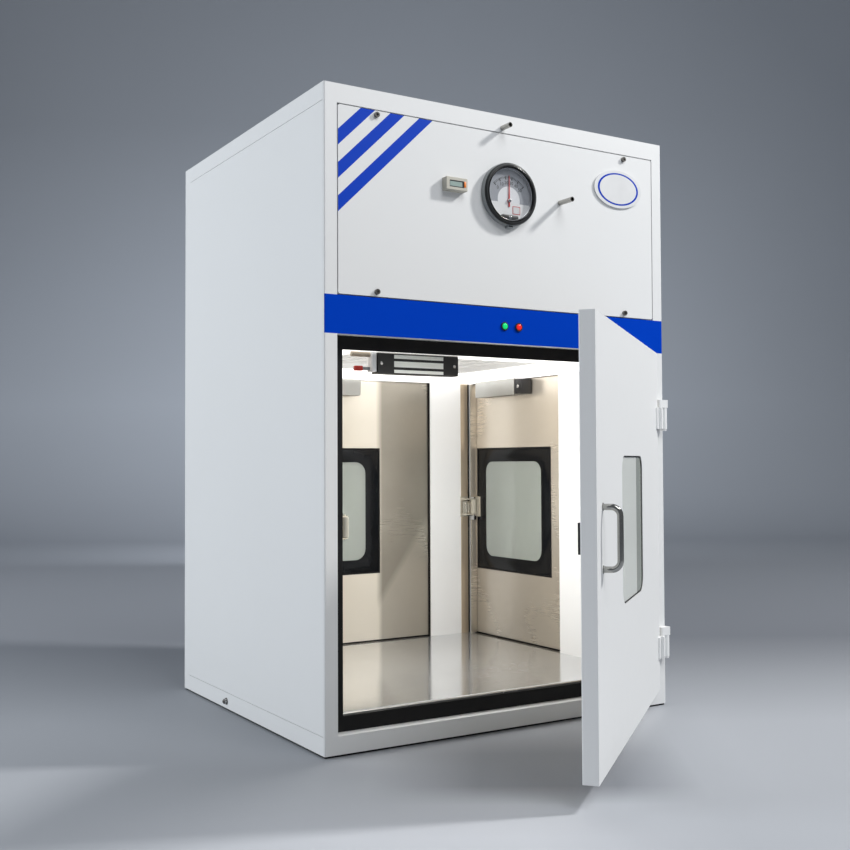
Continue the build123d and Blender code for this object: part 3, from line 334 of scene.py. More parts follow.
warmSteel, tarnished = (0.70, 0.64, 0.55), (0.50, 0.45, 0.37)
finishes = {
    "white": paintFinish("whiteCoat", paint["white"], paint["dull"]),
    # painted light: the jambs take a brighter copy of the white coat
    "jamb": paintFinish("jambCoat", (0.93, 0.94, 0.95), (0.88, 0.89, 0.90)),
    "cover": coverFinish(),
    "blue": paintFinish("blueCoat", blue, (0.0, 0.044, 0.46), 0.02),
    "linerSteel": steelFinish("linerSteel", warmSteel, tarnished, (0.24, 0.3), alongZ),
    # painted shade and painted reflection: the rear and side door liners are darker copies of the warm steel, each
    # with a painted reflection patch
    "rearSteel": steelFinish("rearSteel", (0.40, 0.37, 0.32), (0.31, 0.285, 0.24), (0.24, 0.3), alongZ,
                             reflectionPatch=(0, 0.104, 0.086, (0.93, 0.87, 0.765))),
    "sideSteel": steelFinish("sideSteel", (0.50, 0.46, 0.40), (0.40, 0.37, 0.32), (0.24, 0.3), alongZ,
                             reflectionPatch=(2, 0.24, 0.50, (0.92, 0.84, 0.73))),
    "floorSteel": steelFinish("floorSteel", (0.80, 0.81, 0.82), (0.64, 0.65, 0.66), (0.08, 0.16), alongX,
                              0.06, 0.16, 0.8),
    "postSteel": steelFinish("postSteel", (0.74, 0.62, 0.47), (0.58, 0.48, 0.36), (0.25, 0.38), alongPost),
    "wallSteel": steelFinish("wallSteel", warmSteel, tarnished, (0.2, 0.3), alongZ),
    "diffuser": paintFinish("diffuserCoat", (0.82, 0.82, 0.82), (0.7, 0.7, 0.7)),
    "lock": lockFinish(),
    "chrome": metalFinish("handleChrome", (0.40, 0.40, 0.38), 0.07, 0.14),
    "bracket": metalFinish("bracketSteel", (0.86, 0.80, 0.68), 0.12, 0.25, 0.55),
    "nickel": metalFinish("catchNickel", (0.80, 0.77, 0.70), 0.1, 0.2, 0.8),
    "screw": metalFinish("screwSteel", (0.22, 0.21, 0.20), 0.25, 0.4),
    "brightScrew": metalFinish("brightScrew", (0.75, 0.74, 0.72), 0.2, 0.3),
    "port": metalFinish("portSteel", (0.46, 0.45, 0.42), 0.2, 0.32),
    "seal": plasticFinish("sealRubber", rubberBlack, 0.45, 0.6, Specular_IOR_Level=0.2),
    "pane": glassFinish("paneGlass", (0.88, 0.93, 0.89), 0.06, 0.72),
    "frontPane": frontPaneFinish("frontPaneGlass", (0.96, 0.99, 0.95), 0.05, 0.25),
    "lens": clearFinish("lensClear", (0.03, 0.035, 0.04), 0.02, 0.06),
    "glow": glowFinish("lightCover", (0.95, 0.96, 0.97), (1.0, 0.98, 0.95), 1.15),
    "blackPlastic": plasticFinish("blackPlastic", (0.025, 0.025, 0.027), 0.3, 0.45),
    "roller": plasticFinish("rollerPlastic", (0.55, 0.52, 0.44), 0.3, 0.45),
    "gauge": plasticFinish("gaugeCoat", (0.018, 0.02, 0.022), 0.3, 0.45, Specular_IOR_Level=0.35),
    "gaugeBody": plasticFinish("gaugeBody", (0.28, 0.30, 0.31), 0.4, 0.55),
    "gaugeRim": metalFinish("gaugeRim", (0.008, 0.008, 0.009), 0.12, 0.22, 0.0),
    "silver": metalFinish("silverRing", (0.80, 0.81, 0.83), 0.1, 0.2),
    "dial": plasticFinish("dialCoat", (0.92, 0.94, 0.97), 0.2, 0.3),
    # painted shade: the darker tone painted over the upper dial
    "scale": plasticFinish("dialShadeCoat", (0.44, 0.46, 0.50), 0.15, 0.25),
    "dialFoil": metalFinish("dialFoil", (0.97, 0.98, 0.99), 0.15, 0.25, 0.1),
    "pointer": plasticFinish("pointerRed", (0.60, 0.02, 0.02), 0.35, 0.45),
    "beige": plasticFinish("meterBeige", (0.56, 0.54, 0.47), 0.4, 0.55),
    "green": glowFinish("greenLens", (0.0, 0.45, 0.12), (0.0, 1.0, 0.28), 0.45),
    "red": glowFinish("redLens", (0.65, 0.01, 0.01), (1.0, 0.02, 0.02), 0.5),
    "filter": plasticFinish("filterPaper", (0.82, 0.82, 0.78), 0.8, 0.95, 300.0),
    "motor": metalFinish("motorCoat", (0.12, 0.13, 0.14), 0.4, 0.55, 0.5),
    "aluminium": metalFinish("plainAluminium", (0.62, 0.62, 0.60), 0.28, 0.42),
    "liquidCrystal": plasticFinish("meterScreen", (0.36, 0.46, 0.43), 0.08, 0.14),
    "orange": plasticFinish("meterOrange", (0.85, 0.22, 0.02), 0.3, 0.4),
    "ink": plasticFinish("dialInk", (0.02, 0.02, 0.022), 0.4, 0.5),
    "whitePlate": plasticFinish("plateWhite", (0.80, 0.81, 0.82), 0.3, 0.4),
    "borderBlack": plasticFinish("borderBlack", (0.006, 0.007, 0.009), 0.12, 0.22, 500.0, Specular_IOR_Level=0.22),
    "bluePrint": plasticFinish("bluePrint", blue, 0.4, 0.5, Specular_IOR_Level=0.1),
    "redPlug": plasticFinish("redPlug", (0.55, 0.03, 0.02), 0.35, 0.45),
    "sleeve": plasticFinish("leadSleeve", (0.42, 0.36, 0.28), 0.4, 0.5),
}

dress = {
    "base_pad": "seal", "header_fascia": "blue", "service_cover": "cover", "cover_screws": "screw",
    "chamber_floor": "floorSteel", "chamber_left_wall": "wallSteel", "corner_post": "postSteel",
    "jamb_panels": "jamb", "ceiling_diffuser": "diffuser", "ceiling_lights": "glow", "door_locks": "lock",
    "buffer_brackets": "bracket",
    "gauge_case": "gauge", "gauge_dial": "dial", "gauge_pointer": "pointer", "gauge_lens": "lens",
    "hour_meter": "beige", "ports": "port", "lamp_bezels": "blackPlastic", "lamp_lens_green": "green",
    "lamp_lens_red": "red", "hepa_filter": "filter", "prefilter": "filter", "blower_deck": "aluminium",
    "impeller": "aluminium", "blower_motor": "motor",
}
doorDress = {"door_liner": "linerSteel", "door_pane": "pane", "door_handle": "chrome", "door_armature": "aluminium",
             "door_seal": "seal", "buffer_roller": "roller"}
for door in doorNames:
    dress.update({f"{door}_{part}": key for part, key in doorDress.items()})
    dress[f"{door}_door_strike"] = "blackPlastic" if door == "front" else "bracket"
dress.update({"rear_door_liner": "rearSteel", "side_door_liner": "sideSteel"})
for name, node in nodes.items():
    node.data.materials.clear()
    node.data.materials.append(finishes[dress.get(name, "white")].material)
print("finishes given to", len(nodes), "nodes")

cornerSteps = 6         # facets of a rounded corner
easeSteps = 2           # facets of an eased edge
smoothAngle = 35        # faces that meet more sharply than this stay crisp
through = 0.01          # how far a cutter passes the piece that it cuts


def clearSelection():
    if bpy.context.object and bpy.context.object.mode != "OBJECT":
        bpy.ops.object.mode_set(mode="OBJECT")
    bpy.ops.object.select_all(action="DESELECT")


def selectOnly(piece):
    clearSelection()
    piece.select_set(True)
    bpy.context.view_layer.objects.active = piece


def settle(piece):
    # the piece's place, turn and size go into its mesh
    selectOnly(piece)
    bpy.ops.object.transform_apply(location=True, rotation=True, scale=True)


def pickEdges(piece, chosen):
    # leaves only the edges that chosen() accepts selected, in edge mode
    bpy.ops.object.mode_set(mode="EDIT")
    bpy.ops.mesh.select_mode(type="EDGE")
    bpy.ops.mesh.select_all(action="DESELECT")
    bpy.ops.object.mode_set(mode="OBJECT")
    points = piece.data.vertices
    for edge in piece.data.edges:
        edge.select = chosen(points[edge.vertices[0]].co, points[edge.vertices[1]].co)
    bpy.ops.object.mode_set(mode="EDIT")


def block(low, high, radius=0.0, axis=2, soften=0.0):
    # a block between two corners, with its edges along one axis rounded and the rest eased
    clearSelection()
    bpy.ops.mesh.primitive_cube_add(size=1, location=(Vector(low) + Vector(high)) / 2,
                                    scale=Vector(high) - Vector(low))
    piece = bpy.context.object
    settle(piece)
    if radius:
        pickEdges(piece, lambda a, b: abs(a[axis] - b[axis]) > 1e-6)
        bpy.ops.mesh.bevel(offset=radius, segments=cornerSteps, affect="EDGES")
        bpy.ops.object.mode_set(mode="OBJECT")
    if soften:
        ease(piece, soften)
    return piece


def slab(middle, half, depths, radius=0.0, soften=0.0):
    # a flat block on a face: its middle, half its width and height, and its back and front
    return block((middle[0] - half[0], middle[1] - half[1], depths[0]),
                 (middle[0] + half[0], middle[1] + half[1], depths[1]), radius, 2, soften)


def rod(radius, low, high, place=(0, 0), corners=32, soften=0.0):
    # a round bar along Z
    clearSelection()
    bpy.ops.mesh.primitive_cylinder_add(vertices=corners, radius=radius, depth=high - low,
                                        location=(place[0], place[1], (low + high) / 2))
    piece = bpy.context.object
    settle(piece)
    if soften:
        ease(piece, soften)
    return piece


def ring(outer, inner, low, high, place=(0, 0), corners=96, soften=0.0):
    band = rod(outer, low, high, place, corners)
    cut(band, rod(inner, low - through, high + through, place, corners))
    if soften:
        ease(band, soften, 50)
    return band


def ease(piece, width, angle=40):
    modifier = piece.modifiers.new("ease", "BEVEL")
    modifier.width = width
    modifier.segments = easeSteps
    modifier.limit_method = "ANGLE"
    modifier.angle_limit = math.radians(angle)
    apply(piece, modifier)


def apply(piece, modifier):
    selectOnly(piece)
    bpy.ops.object.modifier_apply(modifier=modifier.name)


def cut(piece, tool):
    modifier = piece.modifiers.new("cut", "BOOLEAN")
    modifier.operation = "DIFFERENCE"
    modifier.object = tool
    modifier.solver = "EXACT"
    apply(piece, modifier)
    bpy.data.objects.remove(tool)


def joinPieces(pieces):
    clearSelection()
    for piece in pieces:
        piece.select_set(True)
    bpy.context.view_layer.objects.active = pieces[0]
    bpy.ops.object.join()
    return bpy.context.object


def finishPiece(piece, name, body, key, place=None):
    if place is not None:
        piece.matrix_world = place @ piece.matrix_world
    settle(piece)
    bpy.ops.object.shade_smooth_by_angle(angle=math.radians(smoothAngle))
    piece.name = name
    piece.data.name = name
    piece.data.materials.clear()
    piece.data.materials.append(finishes[key].material)
    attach(piece, body)
    return piece


def facePlane(origin, right, outward):
    # local X to the viewer's right, Y up, Z out of the face
    right, outward = Vector(right), Vector(outward)
    up = outward.cross(right)
    turn = Matrix((right, up, outward)).transposed().to_4x4()
    return Matrix.Translation(origin) @ turn


frontPlane = facePlane((0, -0.375, 0), (1, 0, 0), (0, -1, 0))
doorPlanes = {      # plane through each hinge axis, the free edge's side, and the door's width
    "front": (facePlane((*frontHinge, 0), (math.cos(openAngle), math.sin(openAngle), 0),
                        (math.sin(openAngle), -math.cos(openAngle), 0)), -1, 0.744),
    "side": (facePlane((0.410, -0.092, 0), (0, 1, 0), (1, 0, 0)), 1, 0.419),
    "rear": (facePlane((0.279, 0.385, 0), (-1, 0, 0), (0, 1, 0)), 1, 0.631),
}

window = {"high": 0.403, "hinge": 0.020, "corner": 0.028, "glass": (0.3215, 0.3115), "clear": (0.245, 0.245),
          "inner": -0.0354, "thick": 0.0008, "bead": 0.0022, "beadDepth": (0.0016, 0.0004),
          "opening": (0.2492, 0.2542), "front": -0.0122, "frontThick": 0.0024, "spare": 0.002, "rubber": 0.0021,
          "proud": 0.0012, "shift": {"front": (0, 0), "side": (0.020, -0.004), "rear": (0.010, -0.004)}}


def larger(half, by):
    return tuple(v + by for v in half)


def windowBorder(door):
    plane, side, width = doorPlanes[door]
    body = f"{door}_door"
    across, rise = window["shift"][door]
    middle = (side * (window["hinge"] + width / 2 + across), window["high"] + rise)
    glass, clear, opening = (tuple(v / 2 for v in window[part]) for part in ("glass", "clear", "opening"))
    near, front, back = window["inner"], window["front"], window["front"] - window["frontThick"]
    # black border printed round the inner pane
    border = slab(middle, glass, (near - window["thick"], near), soften=0.0002)
    cut(border, slab(middle, clear, (near - through, near + through), window["corner"]))
    finishPiece(border, f"{door}_window_border", body, "borderBlack", plane)
    # bead of sealant along the border's outer edge
    bead = slab(middle, larger(glass, window["bead"]), [near - depth for depth in window["beadDepth"]],
                soften=0.0004)
    cut(bead, slab(middle, larger(glass, -window["bead"]), (near - through, near + through), 0.002))
    finishPiece(bead, f"{door}_window_bead", body, "seal", plane)
    # outer glass near the door's face, with a dark gasket round it
    pane = slab(middle, larger(opening, -window["spare"]), (back, front), window["corner"] - window["spare"])
    finishPiece(pane, f"{door}_window_glass", body, "frontPane", plane)
    gasket = slab(middle, opening, (back, front + window["proud"]), window["corner"], 0.0003)
    cut(gasket, slab(middle, larger(opening, -window["rubber"]), (front - through, front + through),
                     window["corner"] - window["rubber"]))
    finishPiece(gasket, f"{door}_window_gasket", body, "seal", plane)


for door in doorNames:
    windowBorder(door)
print("window borders made")

gauge = {"middle": (-0.003, 1.046), "face": 0.005, "pivotDrop": 0.012, "dial": 0.0505, "arc": (-48, 48),
         "ticks": 26, "tickTop": 0.0485, "longTick": (0.001, 0.0068), "shortTick": (0.0005, 0.004),
         "numbers": ("0", "10", "20", "30", "40", "50"), "numberSize": 0.0096, "numberReach": 0.0355,
         # the three rings: outer and inner radius, back and front
         "wall": (0.0622, 0.0575, 0.0002, 0.0112), "rim": (0.0553, 0.0528, 0.0135, 0.0166),
         "keeper": (0.0527, 0.0508, 0.0075, 0.0118), "boss": (0.0626, 0.0065, 0.0046), "hub": 0.0265,
         "hubDrop": 0.010, "plateTop": 0.016, "cutter": 0.06, "sticker": (0.0175, -0.0295),
         "stickerHalf": (0.009, 0.008), "stickerFrame": 0.0013, "pivot": 0.0034, "zeroDrop": 0.046,
         "zeroHalf": (0.020, 0.0055), "zeroScrew": 0.0036, "zeroSlot": (0.004, 0.0004)}


def gaugeMarks():
    cx, cz = gauge["middle"]
    pz = cz - gauge["pivotDrop"]
    face, top, reach = gauge["face"], gauge["tickTop"], gauge["numberReach"]
    low, high = gauge["arc"]
    angles = [math.radians(low + (high - low) * i / (gauge["ticks"] - 1)) for i in range(gauge["ticks"])]
    marks = []
    for i, angle in enumerate(angles):
        half, length = gauge["longTick"] if i % 5 == 0 else gauge["shortTick"]
        mark = block((-half, top - length, face + 0.0001), (half, top, face + 0.0004))
        mark.matrix_world = Matrix.Translation((cx, pz, 0)) @ Matrix.Rotation(-angle, 4, "Z")
        marks.append(mark)
    for text, angle in zip(gauge["numbers"], angles[::5]):
        clearSelection()
        bpy.ops.object.text_add()
        label = bpy.context.object
        label.data.body = text
        label.data.size = gauge["numberSize"]
        label.data.extrude = 0.0001
        label.data.resolution_u = 2
        label.data.align_x = "CENTER"
        label.data.align_y = "CENTER"
        bpy.ops.object.convert(target="MESH")
        label = bpy.context.object
        label.matrix_world = Matrix.Translation((cx + reach * math.sin(angle), pz + reach * math.cos(angle),
                                                 face + 0.0003))
        marks.append(label)
    for mark in marks:
        settle(mark)
    finishPiece(joinPieces(marks), "gauge_marks", "cabinet", "ink", frontPlane)


def gaugeTrim():
    cx, cz = middle = gauge["middle"]
    face, wide = gauge["face"], gauge["cutter"]
    # grey case wall behind the black bezel, with the boss of its mounting screw below
    wall = ring(*gauge["wall"], middle, soften=0.0006)
    drop, *half = gauge["boss"]
    boss = slab((cx, cz - drop), half, (0.0002, 0.0105), 0.002, 0.0005)
    finishPiece(joinPieces([wall, boss]), "gauge_case_wall", "cabinet", "gaugeBody", frontPlane)
    # black inner rim and the bright ring that holds the lens
    rim = ring(*gauge["rim"], middle, soften=0.0005)
    finishPiece(rim, "gauge_rim", "cabinet", "gaugeRim", frontPlane)
    keeper = ring(*gauge["keeper"], middle, soften=0.0004)
    finishPiece(keeper, "gauge_keeper_ring", "cabinet", "silver", frontPlane)
    # painted shade: a darker band painted over the upper dial, and the mirror-like lower half of the dial
    band = rod(gauge["dial"], face - 0.0002, face + 0.00025, middle, 96)
    cut(band, block((cx - wide, cz - wide, 0), (cx + wide, cz - gauge["plateTop"], through * 2)))
    cut(band, rod(gauge["hub"], 0, through * 2, (cx, cz - gauge["hubDrop"]), 64))
    finishPiece(band, "gauge_shade_band", "cabinet", "scale", frontPlane)
    lower = rod(gauge["dial"], face - 0.0002, face + 0.0003, middle, 64)
    cut(lower, block((cx - wide, cz - gauge["plateTop"], 0), (cx + wide, cz + wide, through * 2)))
    finishPiece(lower, "gauge_lower_plate", "cabinet", "dialFoil", frontPlane)
    # small bare sticker in a red frame
    spot = (cx + gauge["sticker"][0], cz + gauge["sticker"][1])
    frameEdge = slab(spot, gauge["stickerHalf"], (face + 0.0002, face + 0.0006), 0.0012)
    finishPiece(frameEdge, "gauge_sticker", "cabinet", "pointer", frontPlane)
    bare = slab(spot, larger(gauge["stickerHalf"], -gauge["stickerFrame"]), (face + 0.0004, face + 0.0008), 0.0008)
    finishPiece(bare, "gauge_sticker_face", "cabinet", "whitePlate", frontPlane)
    # pivot boss and zero screw housing
    pivot = rod(gauge["pivot"], face + 0.0025, face + 0.0044, (cx, cz - gauge["pivotDrop"]), 32, 0.0005)
    finishPiece(pivot, "gauge_pivot_boss", "cabinet", "silver", frontPlane)
    spot = (cx, cz - gauge["zeroDrop"])
    housing = slab(spot, gauge["zeroHalf"], (face - 0.0002, face + 0.0045), 0.004, 0.0006)
    screw = rod(gauge["zeroScrew"], face + 0.004, face + 0.0054, spot, 24, 0.0004)
    cut(screw, slab(spot, gauge["zeroSlot"], (face + 0.0048, face + 0.006)))
    finishPiece(housing, "gauge_zero_housing", "cabinet", "blackPlastic", frontPlane)
    finishPiece(screw, "gauge_zero_screw", "cabinet", "silver", frontPlane)


gaugeMarks()
gaugeTrim()
print("gauge face made")

meter = {"middle": (-0.129, 1.0495), "front": 0.015, "screen": (0.035, 0.0135),
         "edges": (0.002, 0.005, 0.002, 0.0022),      # surround left, right, below and above the screen
         "mark": (0.018, 0.0005), "markHalf": (0.0022, 0.0055)}


def meterOpening(spare, back, front):
    # the opening in the surround, drawn in by spare on every side
    cx, cz = meter["middle"]
    w, h = (v / 2 for v in meter["screen"])
    left, right, bottom, top = (edge + spare for edge in meter["edges"])
    return (cx - w + left, cz - h + bottom, back), (cx + w - right, cz + h - top, front)


def hourMeter():
    cx, cz = middle = meter["middle"]
    front = meter["front"]
    surround = slab(middle, [v / 2 for v in meter["screen"]], (front - 0.0013, front - 0.0003), 0.001)
    cut(surround, block(*meterOpening(0.0, front - 0.0011, front + 0.001), 0.0006))
    finishPiece(surround, "meter_surround", "cabinet", "blackPlastic", frontPlane)
    screen = block(*meterOpening(0.0001, front - 0.00125, front - 0.0006), 0.0005)
    finishPiece(screen, "meter_screen", "cabinet", "liquidCrystal", frontPlane)
    mark = slab((cx + meter["mark"][0], cz + meter["mark"][1]), meter["markHalf"],
                (front - 0.0002, front + 0.0004), 0.0006, 0.0001)
    finishPiece(mark, "meter_mark", "cabinet", "orange", frontPlane)


plate = {"middle": (0.2778, 1.0925), "size": (0.127, 0.079), "layers": (     # share of the size, back and front
    ("bare_plate", 1.0, 0.0, 0.0032, "dial_white", "whitePlate"),
    ("bare_plate_ring", 0.86, 0.0031, 0.0034, "blue_paint", "bluePrint"),
    ("bare_plate_field", 0.78, 0.0032, 0.0036, "dial_white", "whitePlate"))}


def barePlate():
    width, height = plate["size"]
    for name, share, back, front, slot, key in plate["layers"]:
        piece = rod(0.5, back, front, corners=96)
        piece.scale = (width * share, height * share, 1)
        piece.location = (*plate["middle"], 0)
        settle(piece)
        finishPiece(piece, name, "cabinet", key, frontPlane)


hourMeter()
barePlate()
print("meter and bare plate made")

earthBolt = {"place": (-0.400, 0.105, 0.019), "washer": (0.0072, 0.003, 0.0, 0.0016),
             "nut": (0.0055, 0.0015, 0.0066), "stud": (0.0028, 0.006, 0.0085)}


def makeEarthBolt():
    washer = ring(*earthBolt["washer"], corners=32, soften=0.0003)
    nut = rod(*earthBolt["nut"], corners=6, soften=0.0005)
    stud = rod(*earthBolt["stud"], corners=20, soften=0.0004)
    finishPiece(joinPieces([washer, nut, stud]), "earth_bolt", "cabinet", "screw",
                facePlane(earthBolt["place"], (0, -1, 0), (-1, 0, 0)))


# painted shade strip in the joint beside the corner post
cornerShadeStrip = {"x": (0.3500, 0.3545), "y": (0.3302, 0.3312), "z": (0.0705, 0.726)}
facing = {"x": (0.3548, 0.3732), "y": (0.3240, 0.3248), "gap": (0.368, 0.428)}     # gap for the side door's catch
catchCover = {"x": (0.3310, 0.3603), "y": 0.3225, "z": (0.379, 0.417), "thick": 0.0012, "rib": 0.005,
              "ribInset": 0.0045, "ribProud": 0.0042, "roll": 0.0030}


def makeCornerJoint():
    # painted shade: a black strip in the open joint beside the corner post, where its shade falls, and the steel
    # facing next to it
    bottom, top = cornerShadeStrip["z"]

    def upright(sizes, low, high, soften):
        return block((sizes["x"][0], sizes["y"][0], low), (sizes["x"][1], sizes["y"][1], high), soften=soften)

    finishPiece(upright(cornerShadeStrip, bottom, top, 0.0003), "corner_shade_strip", "cabinet", "seal")
    facings = [upright(facing, bottom, facing["gap"][0], 0.0002), upright(facing, facing["gap"][1], top, 0.0002)]
    finishPiece(joinPieces(facings), "side_mouth_facings", "cabinet", "linerSteel")


def makeCatchCover():
    left, right = catchCover["x"]
    bottom, top = catchCover["z"]
    y, wide, inset = catchCover["y"], catchCover["rib"], catchCover["ribInset"]
    back = block((left, y, bottom), (right, y + catchCover["thick"], top), 0.0015, 1, 0.0003)
    ribs = [block((x, y - catchCover["ribProud"], bottom + 0.003), (x + wide, y + 0.0004, top - 0.003),
                  0.0012, 2, 0.0006) for x in (left + inset, right - inset - wide)]
    roll = rod(catchCover["roll"], bottom + 0.006, top - 0.006, ((left + right) / 2, y - 0.001), 24, 0.0006)
    finishPiece(joinPieces([back, *ribs, roll]), "side_catch_cover", "cabinet", "nickel")


# painted shade strips along the chamber floor's rear and side edges
floorShadeStrips = {"z": (0.0704, 0.0734), "rear": ((-0.326, 0.3458), (0.2465, 0.3484)),
              "side": ((0.3702, -0.046), (0.3730, 0.3232))}


def makeFloorShadeStrips():
    # painted shade: black strips along the joint between the chamber's floor and the door mouths, where its shade
    # falls
    low, high = floorShadeStrips["z"]
    edges = [block((*floorShadeStrips[mouth][0], low), (*floorShadeStrips[mouth][1], high), soften=0.0004)
             for mouth in ("rear", "side")]
    finishPiece(joinPieces(edges), "floor_shade_strips", "cabinet", "seal")


def screwHead(radius, height):
    # pan head with a cross slot, standing on z = 0
    head = rod(radius, 0, height, corners=28, soften=height * 0.3)
    for turn in (0, 90):
        slot = block((-radius * 0.7, -radius * 0.13, height * 0.5), (radius * 0.7, radius * 0.13, height * 2))
        slot.matrix_world = Matrix.Rotation(math.radians(turn), 4, "Z")
        cut(head, slot)
    return head


def screwHeads(size, planes):
    # one screw head for each plane
    heads = []
    for plane in planes:
        head = screwHead(*size)
        head.matrix_world = plane
        settle(head)
        heads.append(head)
    return joinPieces(heads)


lockEnd = {"low": (0.3392, 0.0660, 0.6885), "high": (0.3698, 0.0936, 0.7248), "screwAt": (0.3392, 0.080, 0.7066),
           "screw": (0.0042, 0.0016)}
linerScrews = {"x": 0.3738, "at": ((0.355, 0.4495), (0.3555, 0.352)), "size": (0.0036, 0.0018)}    # along Y and up


def makeScrews():
    planes = []
    sunk = lock["face"] + lock["screw"][1]      # flush in the lock's own recesses
    for (cx, cy, cz), across, out in lockSpots:
        for end in (-lock["screwAt"], lock["screwAt"]):
            spot = (cx + across[0] * end - out[0] * sunk, cy + across[1] * end - out[1] * sunk, cz)
            planes.append(facePlane(spot, (-out[1], out[0], 0), (*out, 0)))
    finishPiece(screwHeads(lock["screw"], planes), "lock_screws", "cabinet", "brightScrew")
    # black end piece of the side door's lock, with its screw
    end = block(lockEnd["low"], lockEnd["high"], 0.0015, 0, 0.0004)
    finishPiece(end, "side_lock_end", "cabinet", "blackPlastic")
    inward = ((0, -1, 0), (-1, 0, 0))
    head = screwHeads(lockEnd["screw"], [facePlane(lockEnd["screwAt"], *inward)])
    finishPiece(head, "side_lock_end_screw", "cabinet", "brightScrew")
    planes = [facePlane((linerScrews["x"], *spot), *inward) for spot in linerScrews["at"]]
    heads = screwHeads(linerScrews["size"], planes)
    finishPiece(heads, "side_liner_screws", "side_door", "brightScrew")


lead = {"clip": ((-0.284, -0.336, 0.690), (-0.2735, -0.316, 0.7272)), "sleeve": (0.0048, 0.0, 0.0385),
        "sleeveAt": (-0.3222, -0.326, 0.7222), "bar": ((-0.3000, -0.328, 0.6930), (-0.2838, -0.321, 0.6990)),
        "plug": ((-0.3140, -0.330, 0.6915), (-0.2998, -0.319, 0.7005))}


def makeLead():
    # clip, sleeve and plug of the front lock's lead, fixed beside the lock
    clip = block(*lead["clip"], 0.002, 2, 0.0006)
    finishPiece(clip, "lock_lead_clip", "cabinet", "white")
    sleeve = rod(*lead["sleeve"], corners=24, soften=0.0008)
    sleeve.matrix_world = Matrix.Translation(lead["sleeveAt"]) @ Matrix.Rotation(math.radians(90), 4, "Y")
    finishPiece(sleeve, "lock_lead_sleeve", "cabinet", "sleeve")
    bar = block(*lead["bar"], 0.001, 0, 0.0004)
    finishPiece(bar, "lock_lead_bar", "cabinet", "gaugeBody")
    plug = block(*lead["plug"], 0.0015, 0, 0.0005)
    finishPiece(plug, "lock_lead_plug", "cabinet", "redPlug")


makeEarthBolt()
makeCornerJoint()
makeCatchCover()
makeFloorShadeStrips()
makeScrews()
makeLead()
print("small hardware made")

# floor and wall tones; spot, backLeft, back and top paint light and shade
stage = {"wide": 14.0, "tall": 7.0, "bend": 2.0, "near": (0.42, 0.44, 0.475), "spot": (0.52, 0.54, 0.58),
         "back": (0.17, 0.182, 0.207), "backLeft": (0.27, 0.288, 0.325), "wall": (0.66, 0.71, 0.79),
         "top": (0.40, 0.43, 0.48), "shade": (0.15, 0.16, 0.18)}
stageTurn = Matrix.Rotation(math.radians(camera["yaw"]), 4, "Z")        # the wall faces the camera


def stageFinish():
    # painted light and shade on the studio: the floor is painted darker away from the camera, with a painted pool
    # of light near the cabinet's front and painted light at the back left, and the wall is painted darker upward,
    # near the floor and to the right
    finish = Finish("stageGrey", stage["near"], 0.6, Specular_IOR_Level=0.2)
    x, y, z = finish.axes()
    # painted pool of light on the floor near the cabinet's front
    paintedPool = finish.steps(x, -0.45, -0.05) * finish.steps(x, 0.5, 0.2) * finish.steps(y, -0.65, -0.95)
    floorTone = finish.mix(paintedPool, stage["near"], stage["spot"])
    # painted shade further back, with painted light at the back left where the cabinet's shadow falls
    rear = finish.mix(finish.steps(x, 0.4, -0.9), stage["back"], stage["backLeft"])
    floorTone = finish.mix(finish.steps(y, -0.25, 0.85), floorTone, rear)
    # soft contact shade round the cabinet, and a deeper one beside the open door's foot
    under = finish.steps(x, -0.75, -0.30) * finish.steps(x, 0.60, 0.30) * finish.steps(y, -0.95, -0.60)
    floorTone = finish.mix((under * finish.steps(y, 0.3, -0.2) * 0.35).limit(), floorTone, stage["shade"])
    deep = finish.steps(x, -0.04, 0.14) * finish.steps(x, 0.5, 0.36) * finish.steps(y, -0.80, -0.70)
    floorTone = finish.mix((deep * finish.steps(y, -0.25, -0.5) * 0.8).limit(), floorTone, stage["shade"])
    # painted shade: the wall is darker upward, near the floor and to the right
    wallTone = finish.mix(finish.steps(z, 0.4, 3.4), stage["wall"], stage["top"])
    wallTone = finish.mix(finish.steps(z, 1.0, -0.2) * 0.7, wallTone, rear)
    wallTone = finish.mix(finish.steps(x, -0.5, 3.5), wallTone, stage["top"])
    tone = finish.mix(finish.steps(y, 0.6, 6.0), floorTone, wallTone)
    finish.set("Base Color", finish.mix(finish.noise(0.5, 2.0) * 0.12, tone, stage["shade"]))
    return finish


def makeStage():
    half, near = stage["wide"] / 2, 0.01
    clearSelection()
    bpy.ops.mesh.primitive_plane_add(size=1, location=(0, 0, 0))
    floor = bpy.context.object
    floor.scale = (stage["wide"], stage["wide"], 1)
    bpy.ops.object.transform_apply(location=True, rotation=True, scale=True)
    pickEdges(floor, lambda a, b: a.y > half - near and b.y > half - near)
    bpy.ops.mesh.extrude_region_move(TRANSFORM_OT_translate={"value": (0, 0, stage["tall"])})
    bpy.ops.object.mode_set(mode="OBJECT")
    pickEdges(floor, lambda a, b: all(abs(p.y - half) < near and p.z < near for p in (a, b)))
    bpy.ops.mesh.bevel(offset=stage["bend"], segments=24, affect="EDGES")
    bpy.ops.object.mode_set(mode="OBJECT")
    floor.matrix_world = stageTurn @ floor.matrix_world
    bpy.ops.object.shade_smooth_by_angle(angle=math.radians(60))
    floor.name = "studio_floor"
    floor.data.materials.append(stageFinish().material)


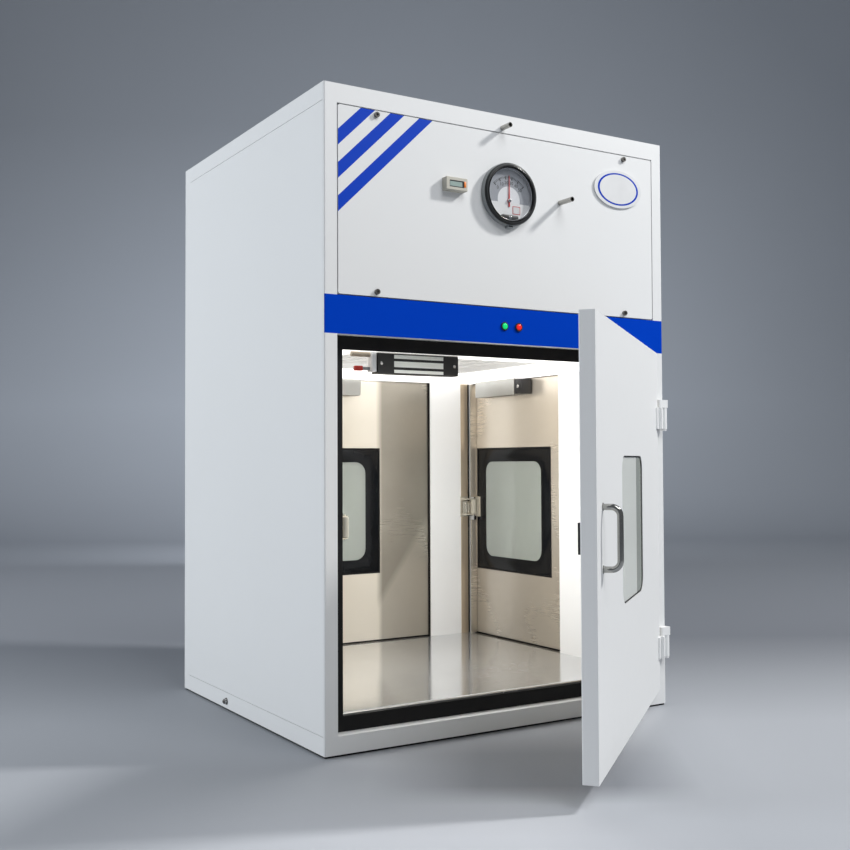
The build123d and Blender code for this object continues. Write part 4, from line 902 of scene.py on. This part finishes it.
lampTarget = Vector((0.0, -0.3, 0.6))
lamps = (   # direction from the cabinet, distance, size, watts, colour
    ((0.656, -0.394, 0.643), 4.5, 0.4, 166.0, (1.0, 0.985, 0.96)),
    ((0.05, -0.66, 0.75), 4.4, 2.2, 76.0, (0.98, 0.99, 1.0)),
    ((-0.85, 0.45, 0.20), 4.8, 2.8, 144.0, (0.93, 0.97, 1.0)),
)
# the wall lamp's place turns with the stage
wallLamp = {"place": (-0.66, 3.2, 1.45), "size": 1.8, "watts": 30.0, "colour": (0.95, 0.98, 1.0)}
chamberLamp = {"place": (-0.02, -0.14, 0.42), "radius": 0.16, "watts": 6.0, "colour": (1.0, 0.985, 0.955)}


def addLamp(name, kind, place, watts, colour, aim=None, glossy=True):
    bpy.ops.object.light_add(type=kind, location=place)
    lamp = bpy.context.object
    lamp.data.energy = watts
    lamp.data.color = colour
    if aim is not None:
        lamp.rotation_euler = aim.to_track_quat("-Z", "Y").to_euler()
    lamp.visible_camera = False
    lamp.visible_glossy = glossy
    lamp.name = name
    return lamp


def makeLamps():
    for i, (way, distance, size, watts, colour) in enumerate(lamps):
        place = lampTarget + Vector(way).normalized() * distance
        addLamp(f"studioLamp{i}", "AREA", place, watts, colour, lampTarget - place).data.size = size
    # glow on the wall behind the cabinet
    lamp = addLamp("wallLamp", "AREA", stageTurn @ Vector(wallLamp["place"]), wallLamp["watts"],
                   wallLamp["colour"], stageTurn @ Vector((0, 1, 0)), False)
    lamp.data.shape = "DISK"
    lamp.data.size = wallLamp["size"]
    # soft fill for the chamber, which neither the camera nor the steel sees
    lamp = addLamp("chamberLamp", "POINT", chamberLamp["place"], chamberLamp["watts"], chamberLamp["colour"],
                   glossy=False)
    lamp.data.shadow_soft_size = chamberLamp["radius"]


sky = {"colour": (0.80, 0.85, 0.92, 1.0), "strength": 0.22}


def makeWorld():
    world = bpy.context.scene.world or bpy.data.worlds.new("studio")
    bpy.context.scene.world = world
    world.use_nodes = True
    background = world.node_tree.nodes["Background"]
    background.inputs["Color"].default_value = sky["colour"]
    background.inputs["Strength"].default_value = sky["strength"]


makeStage()
makeLamps()
makeWorld()
bpy.context.scene.view_settings.view_transform = "Standard"
print("stage and lamps made")
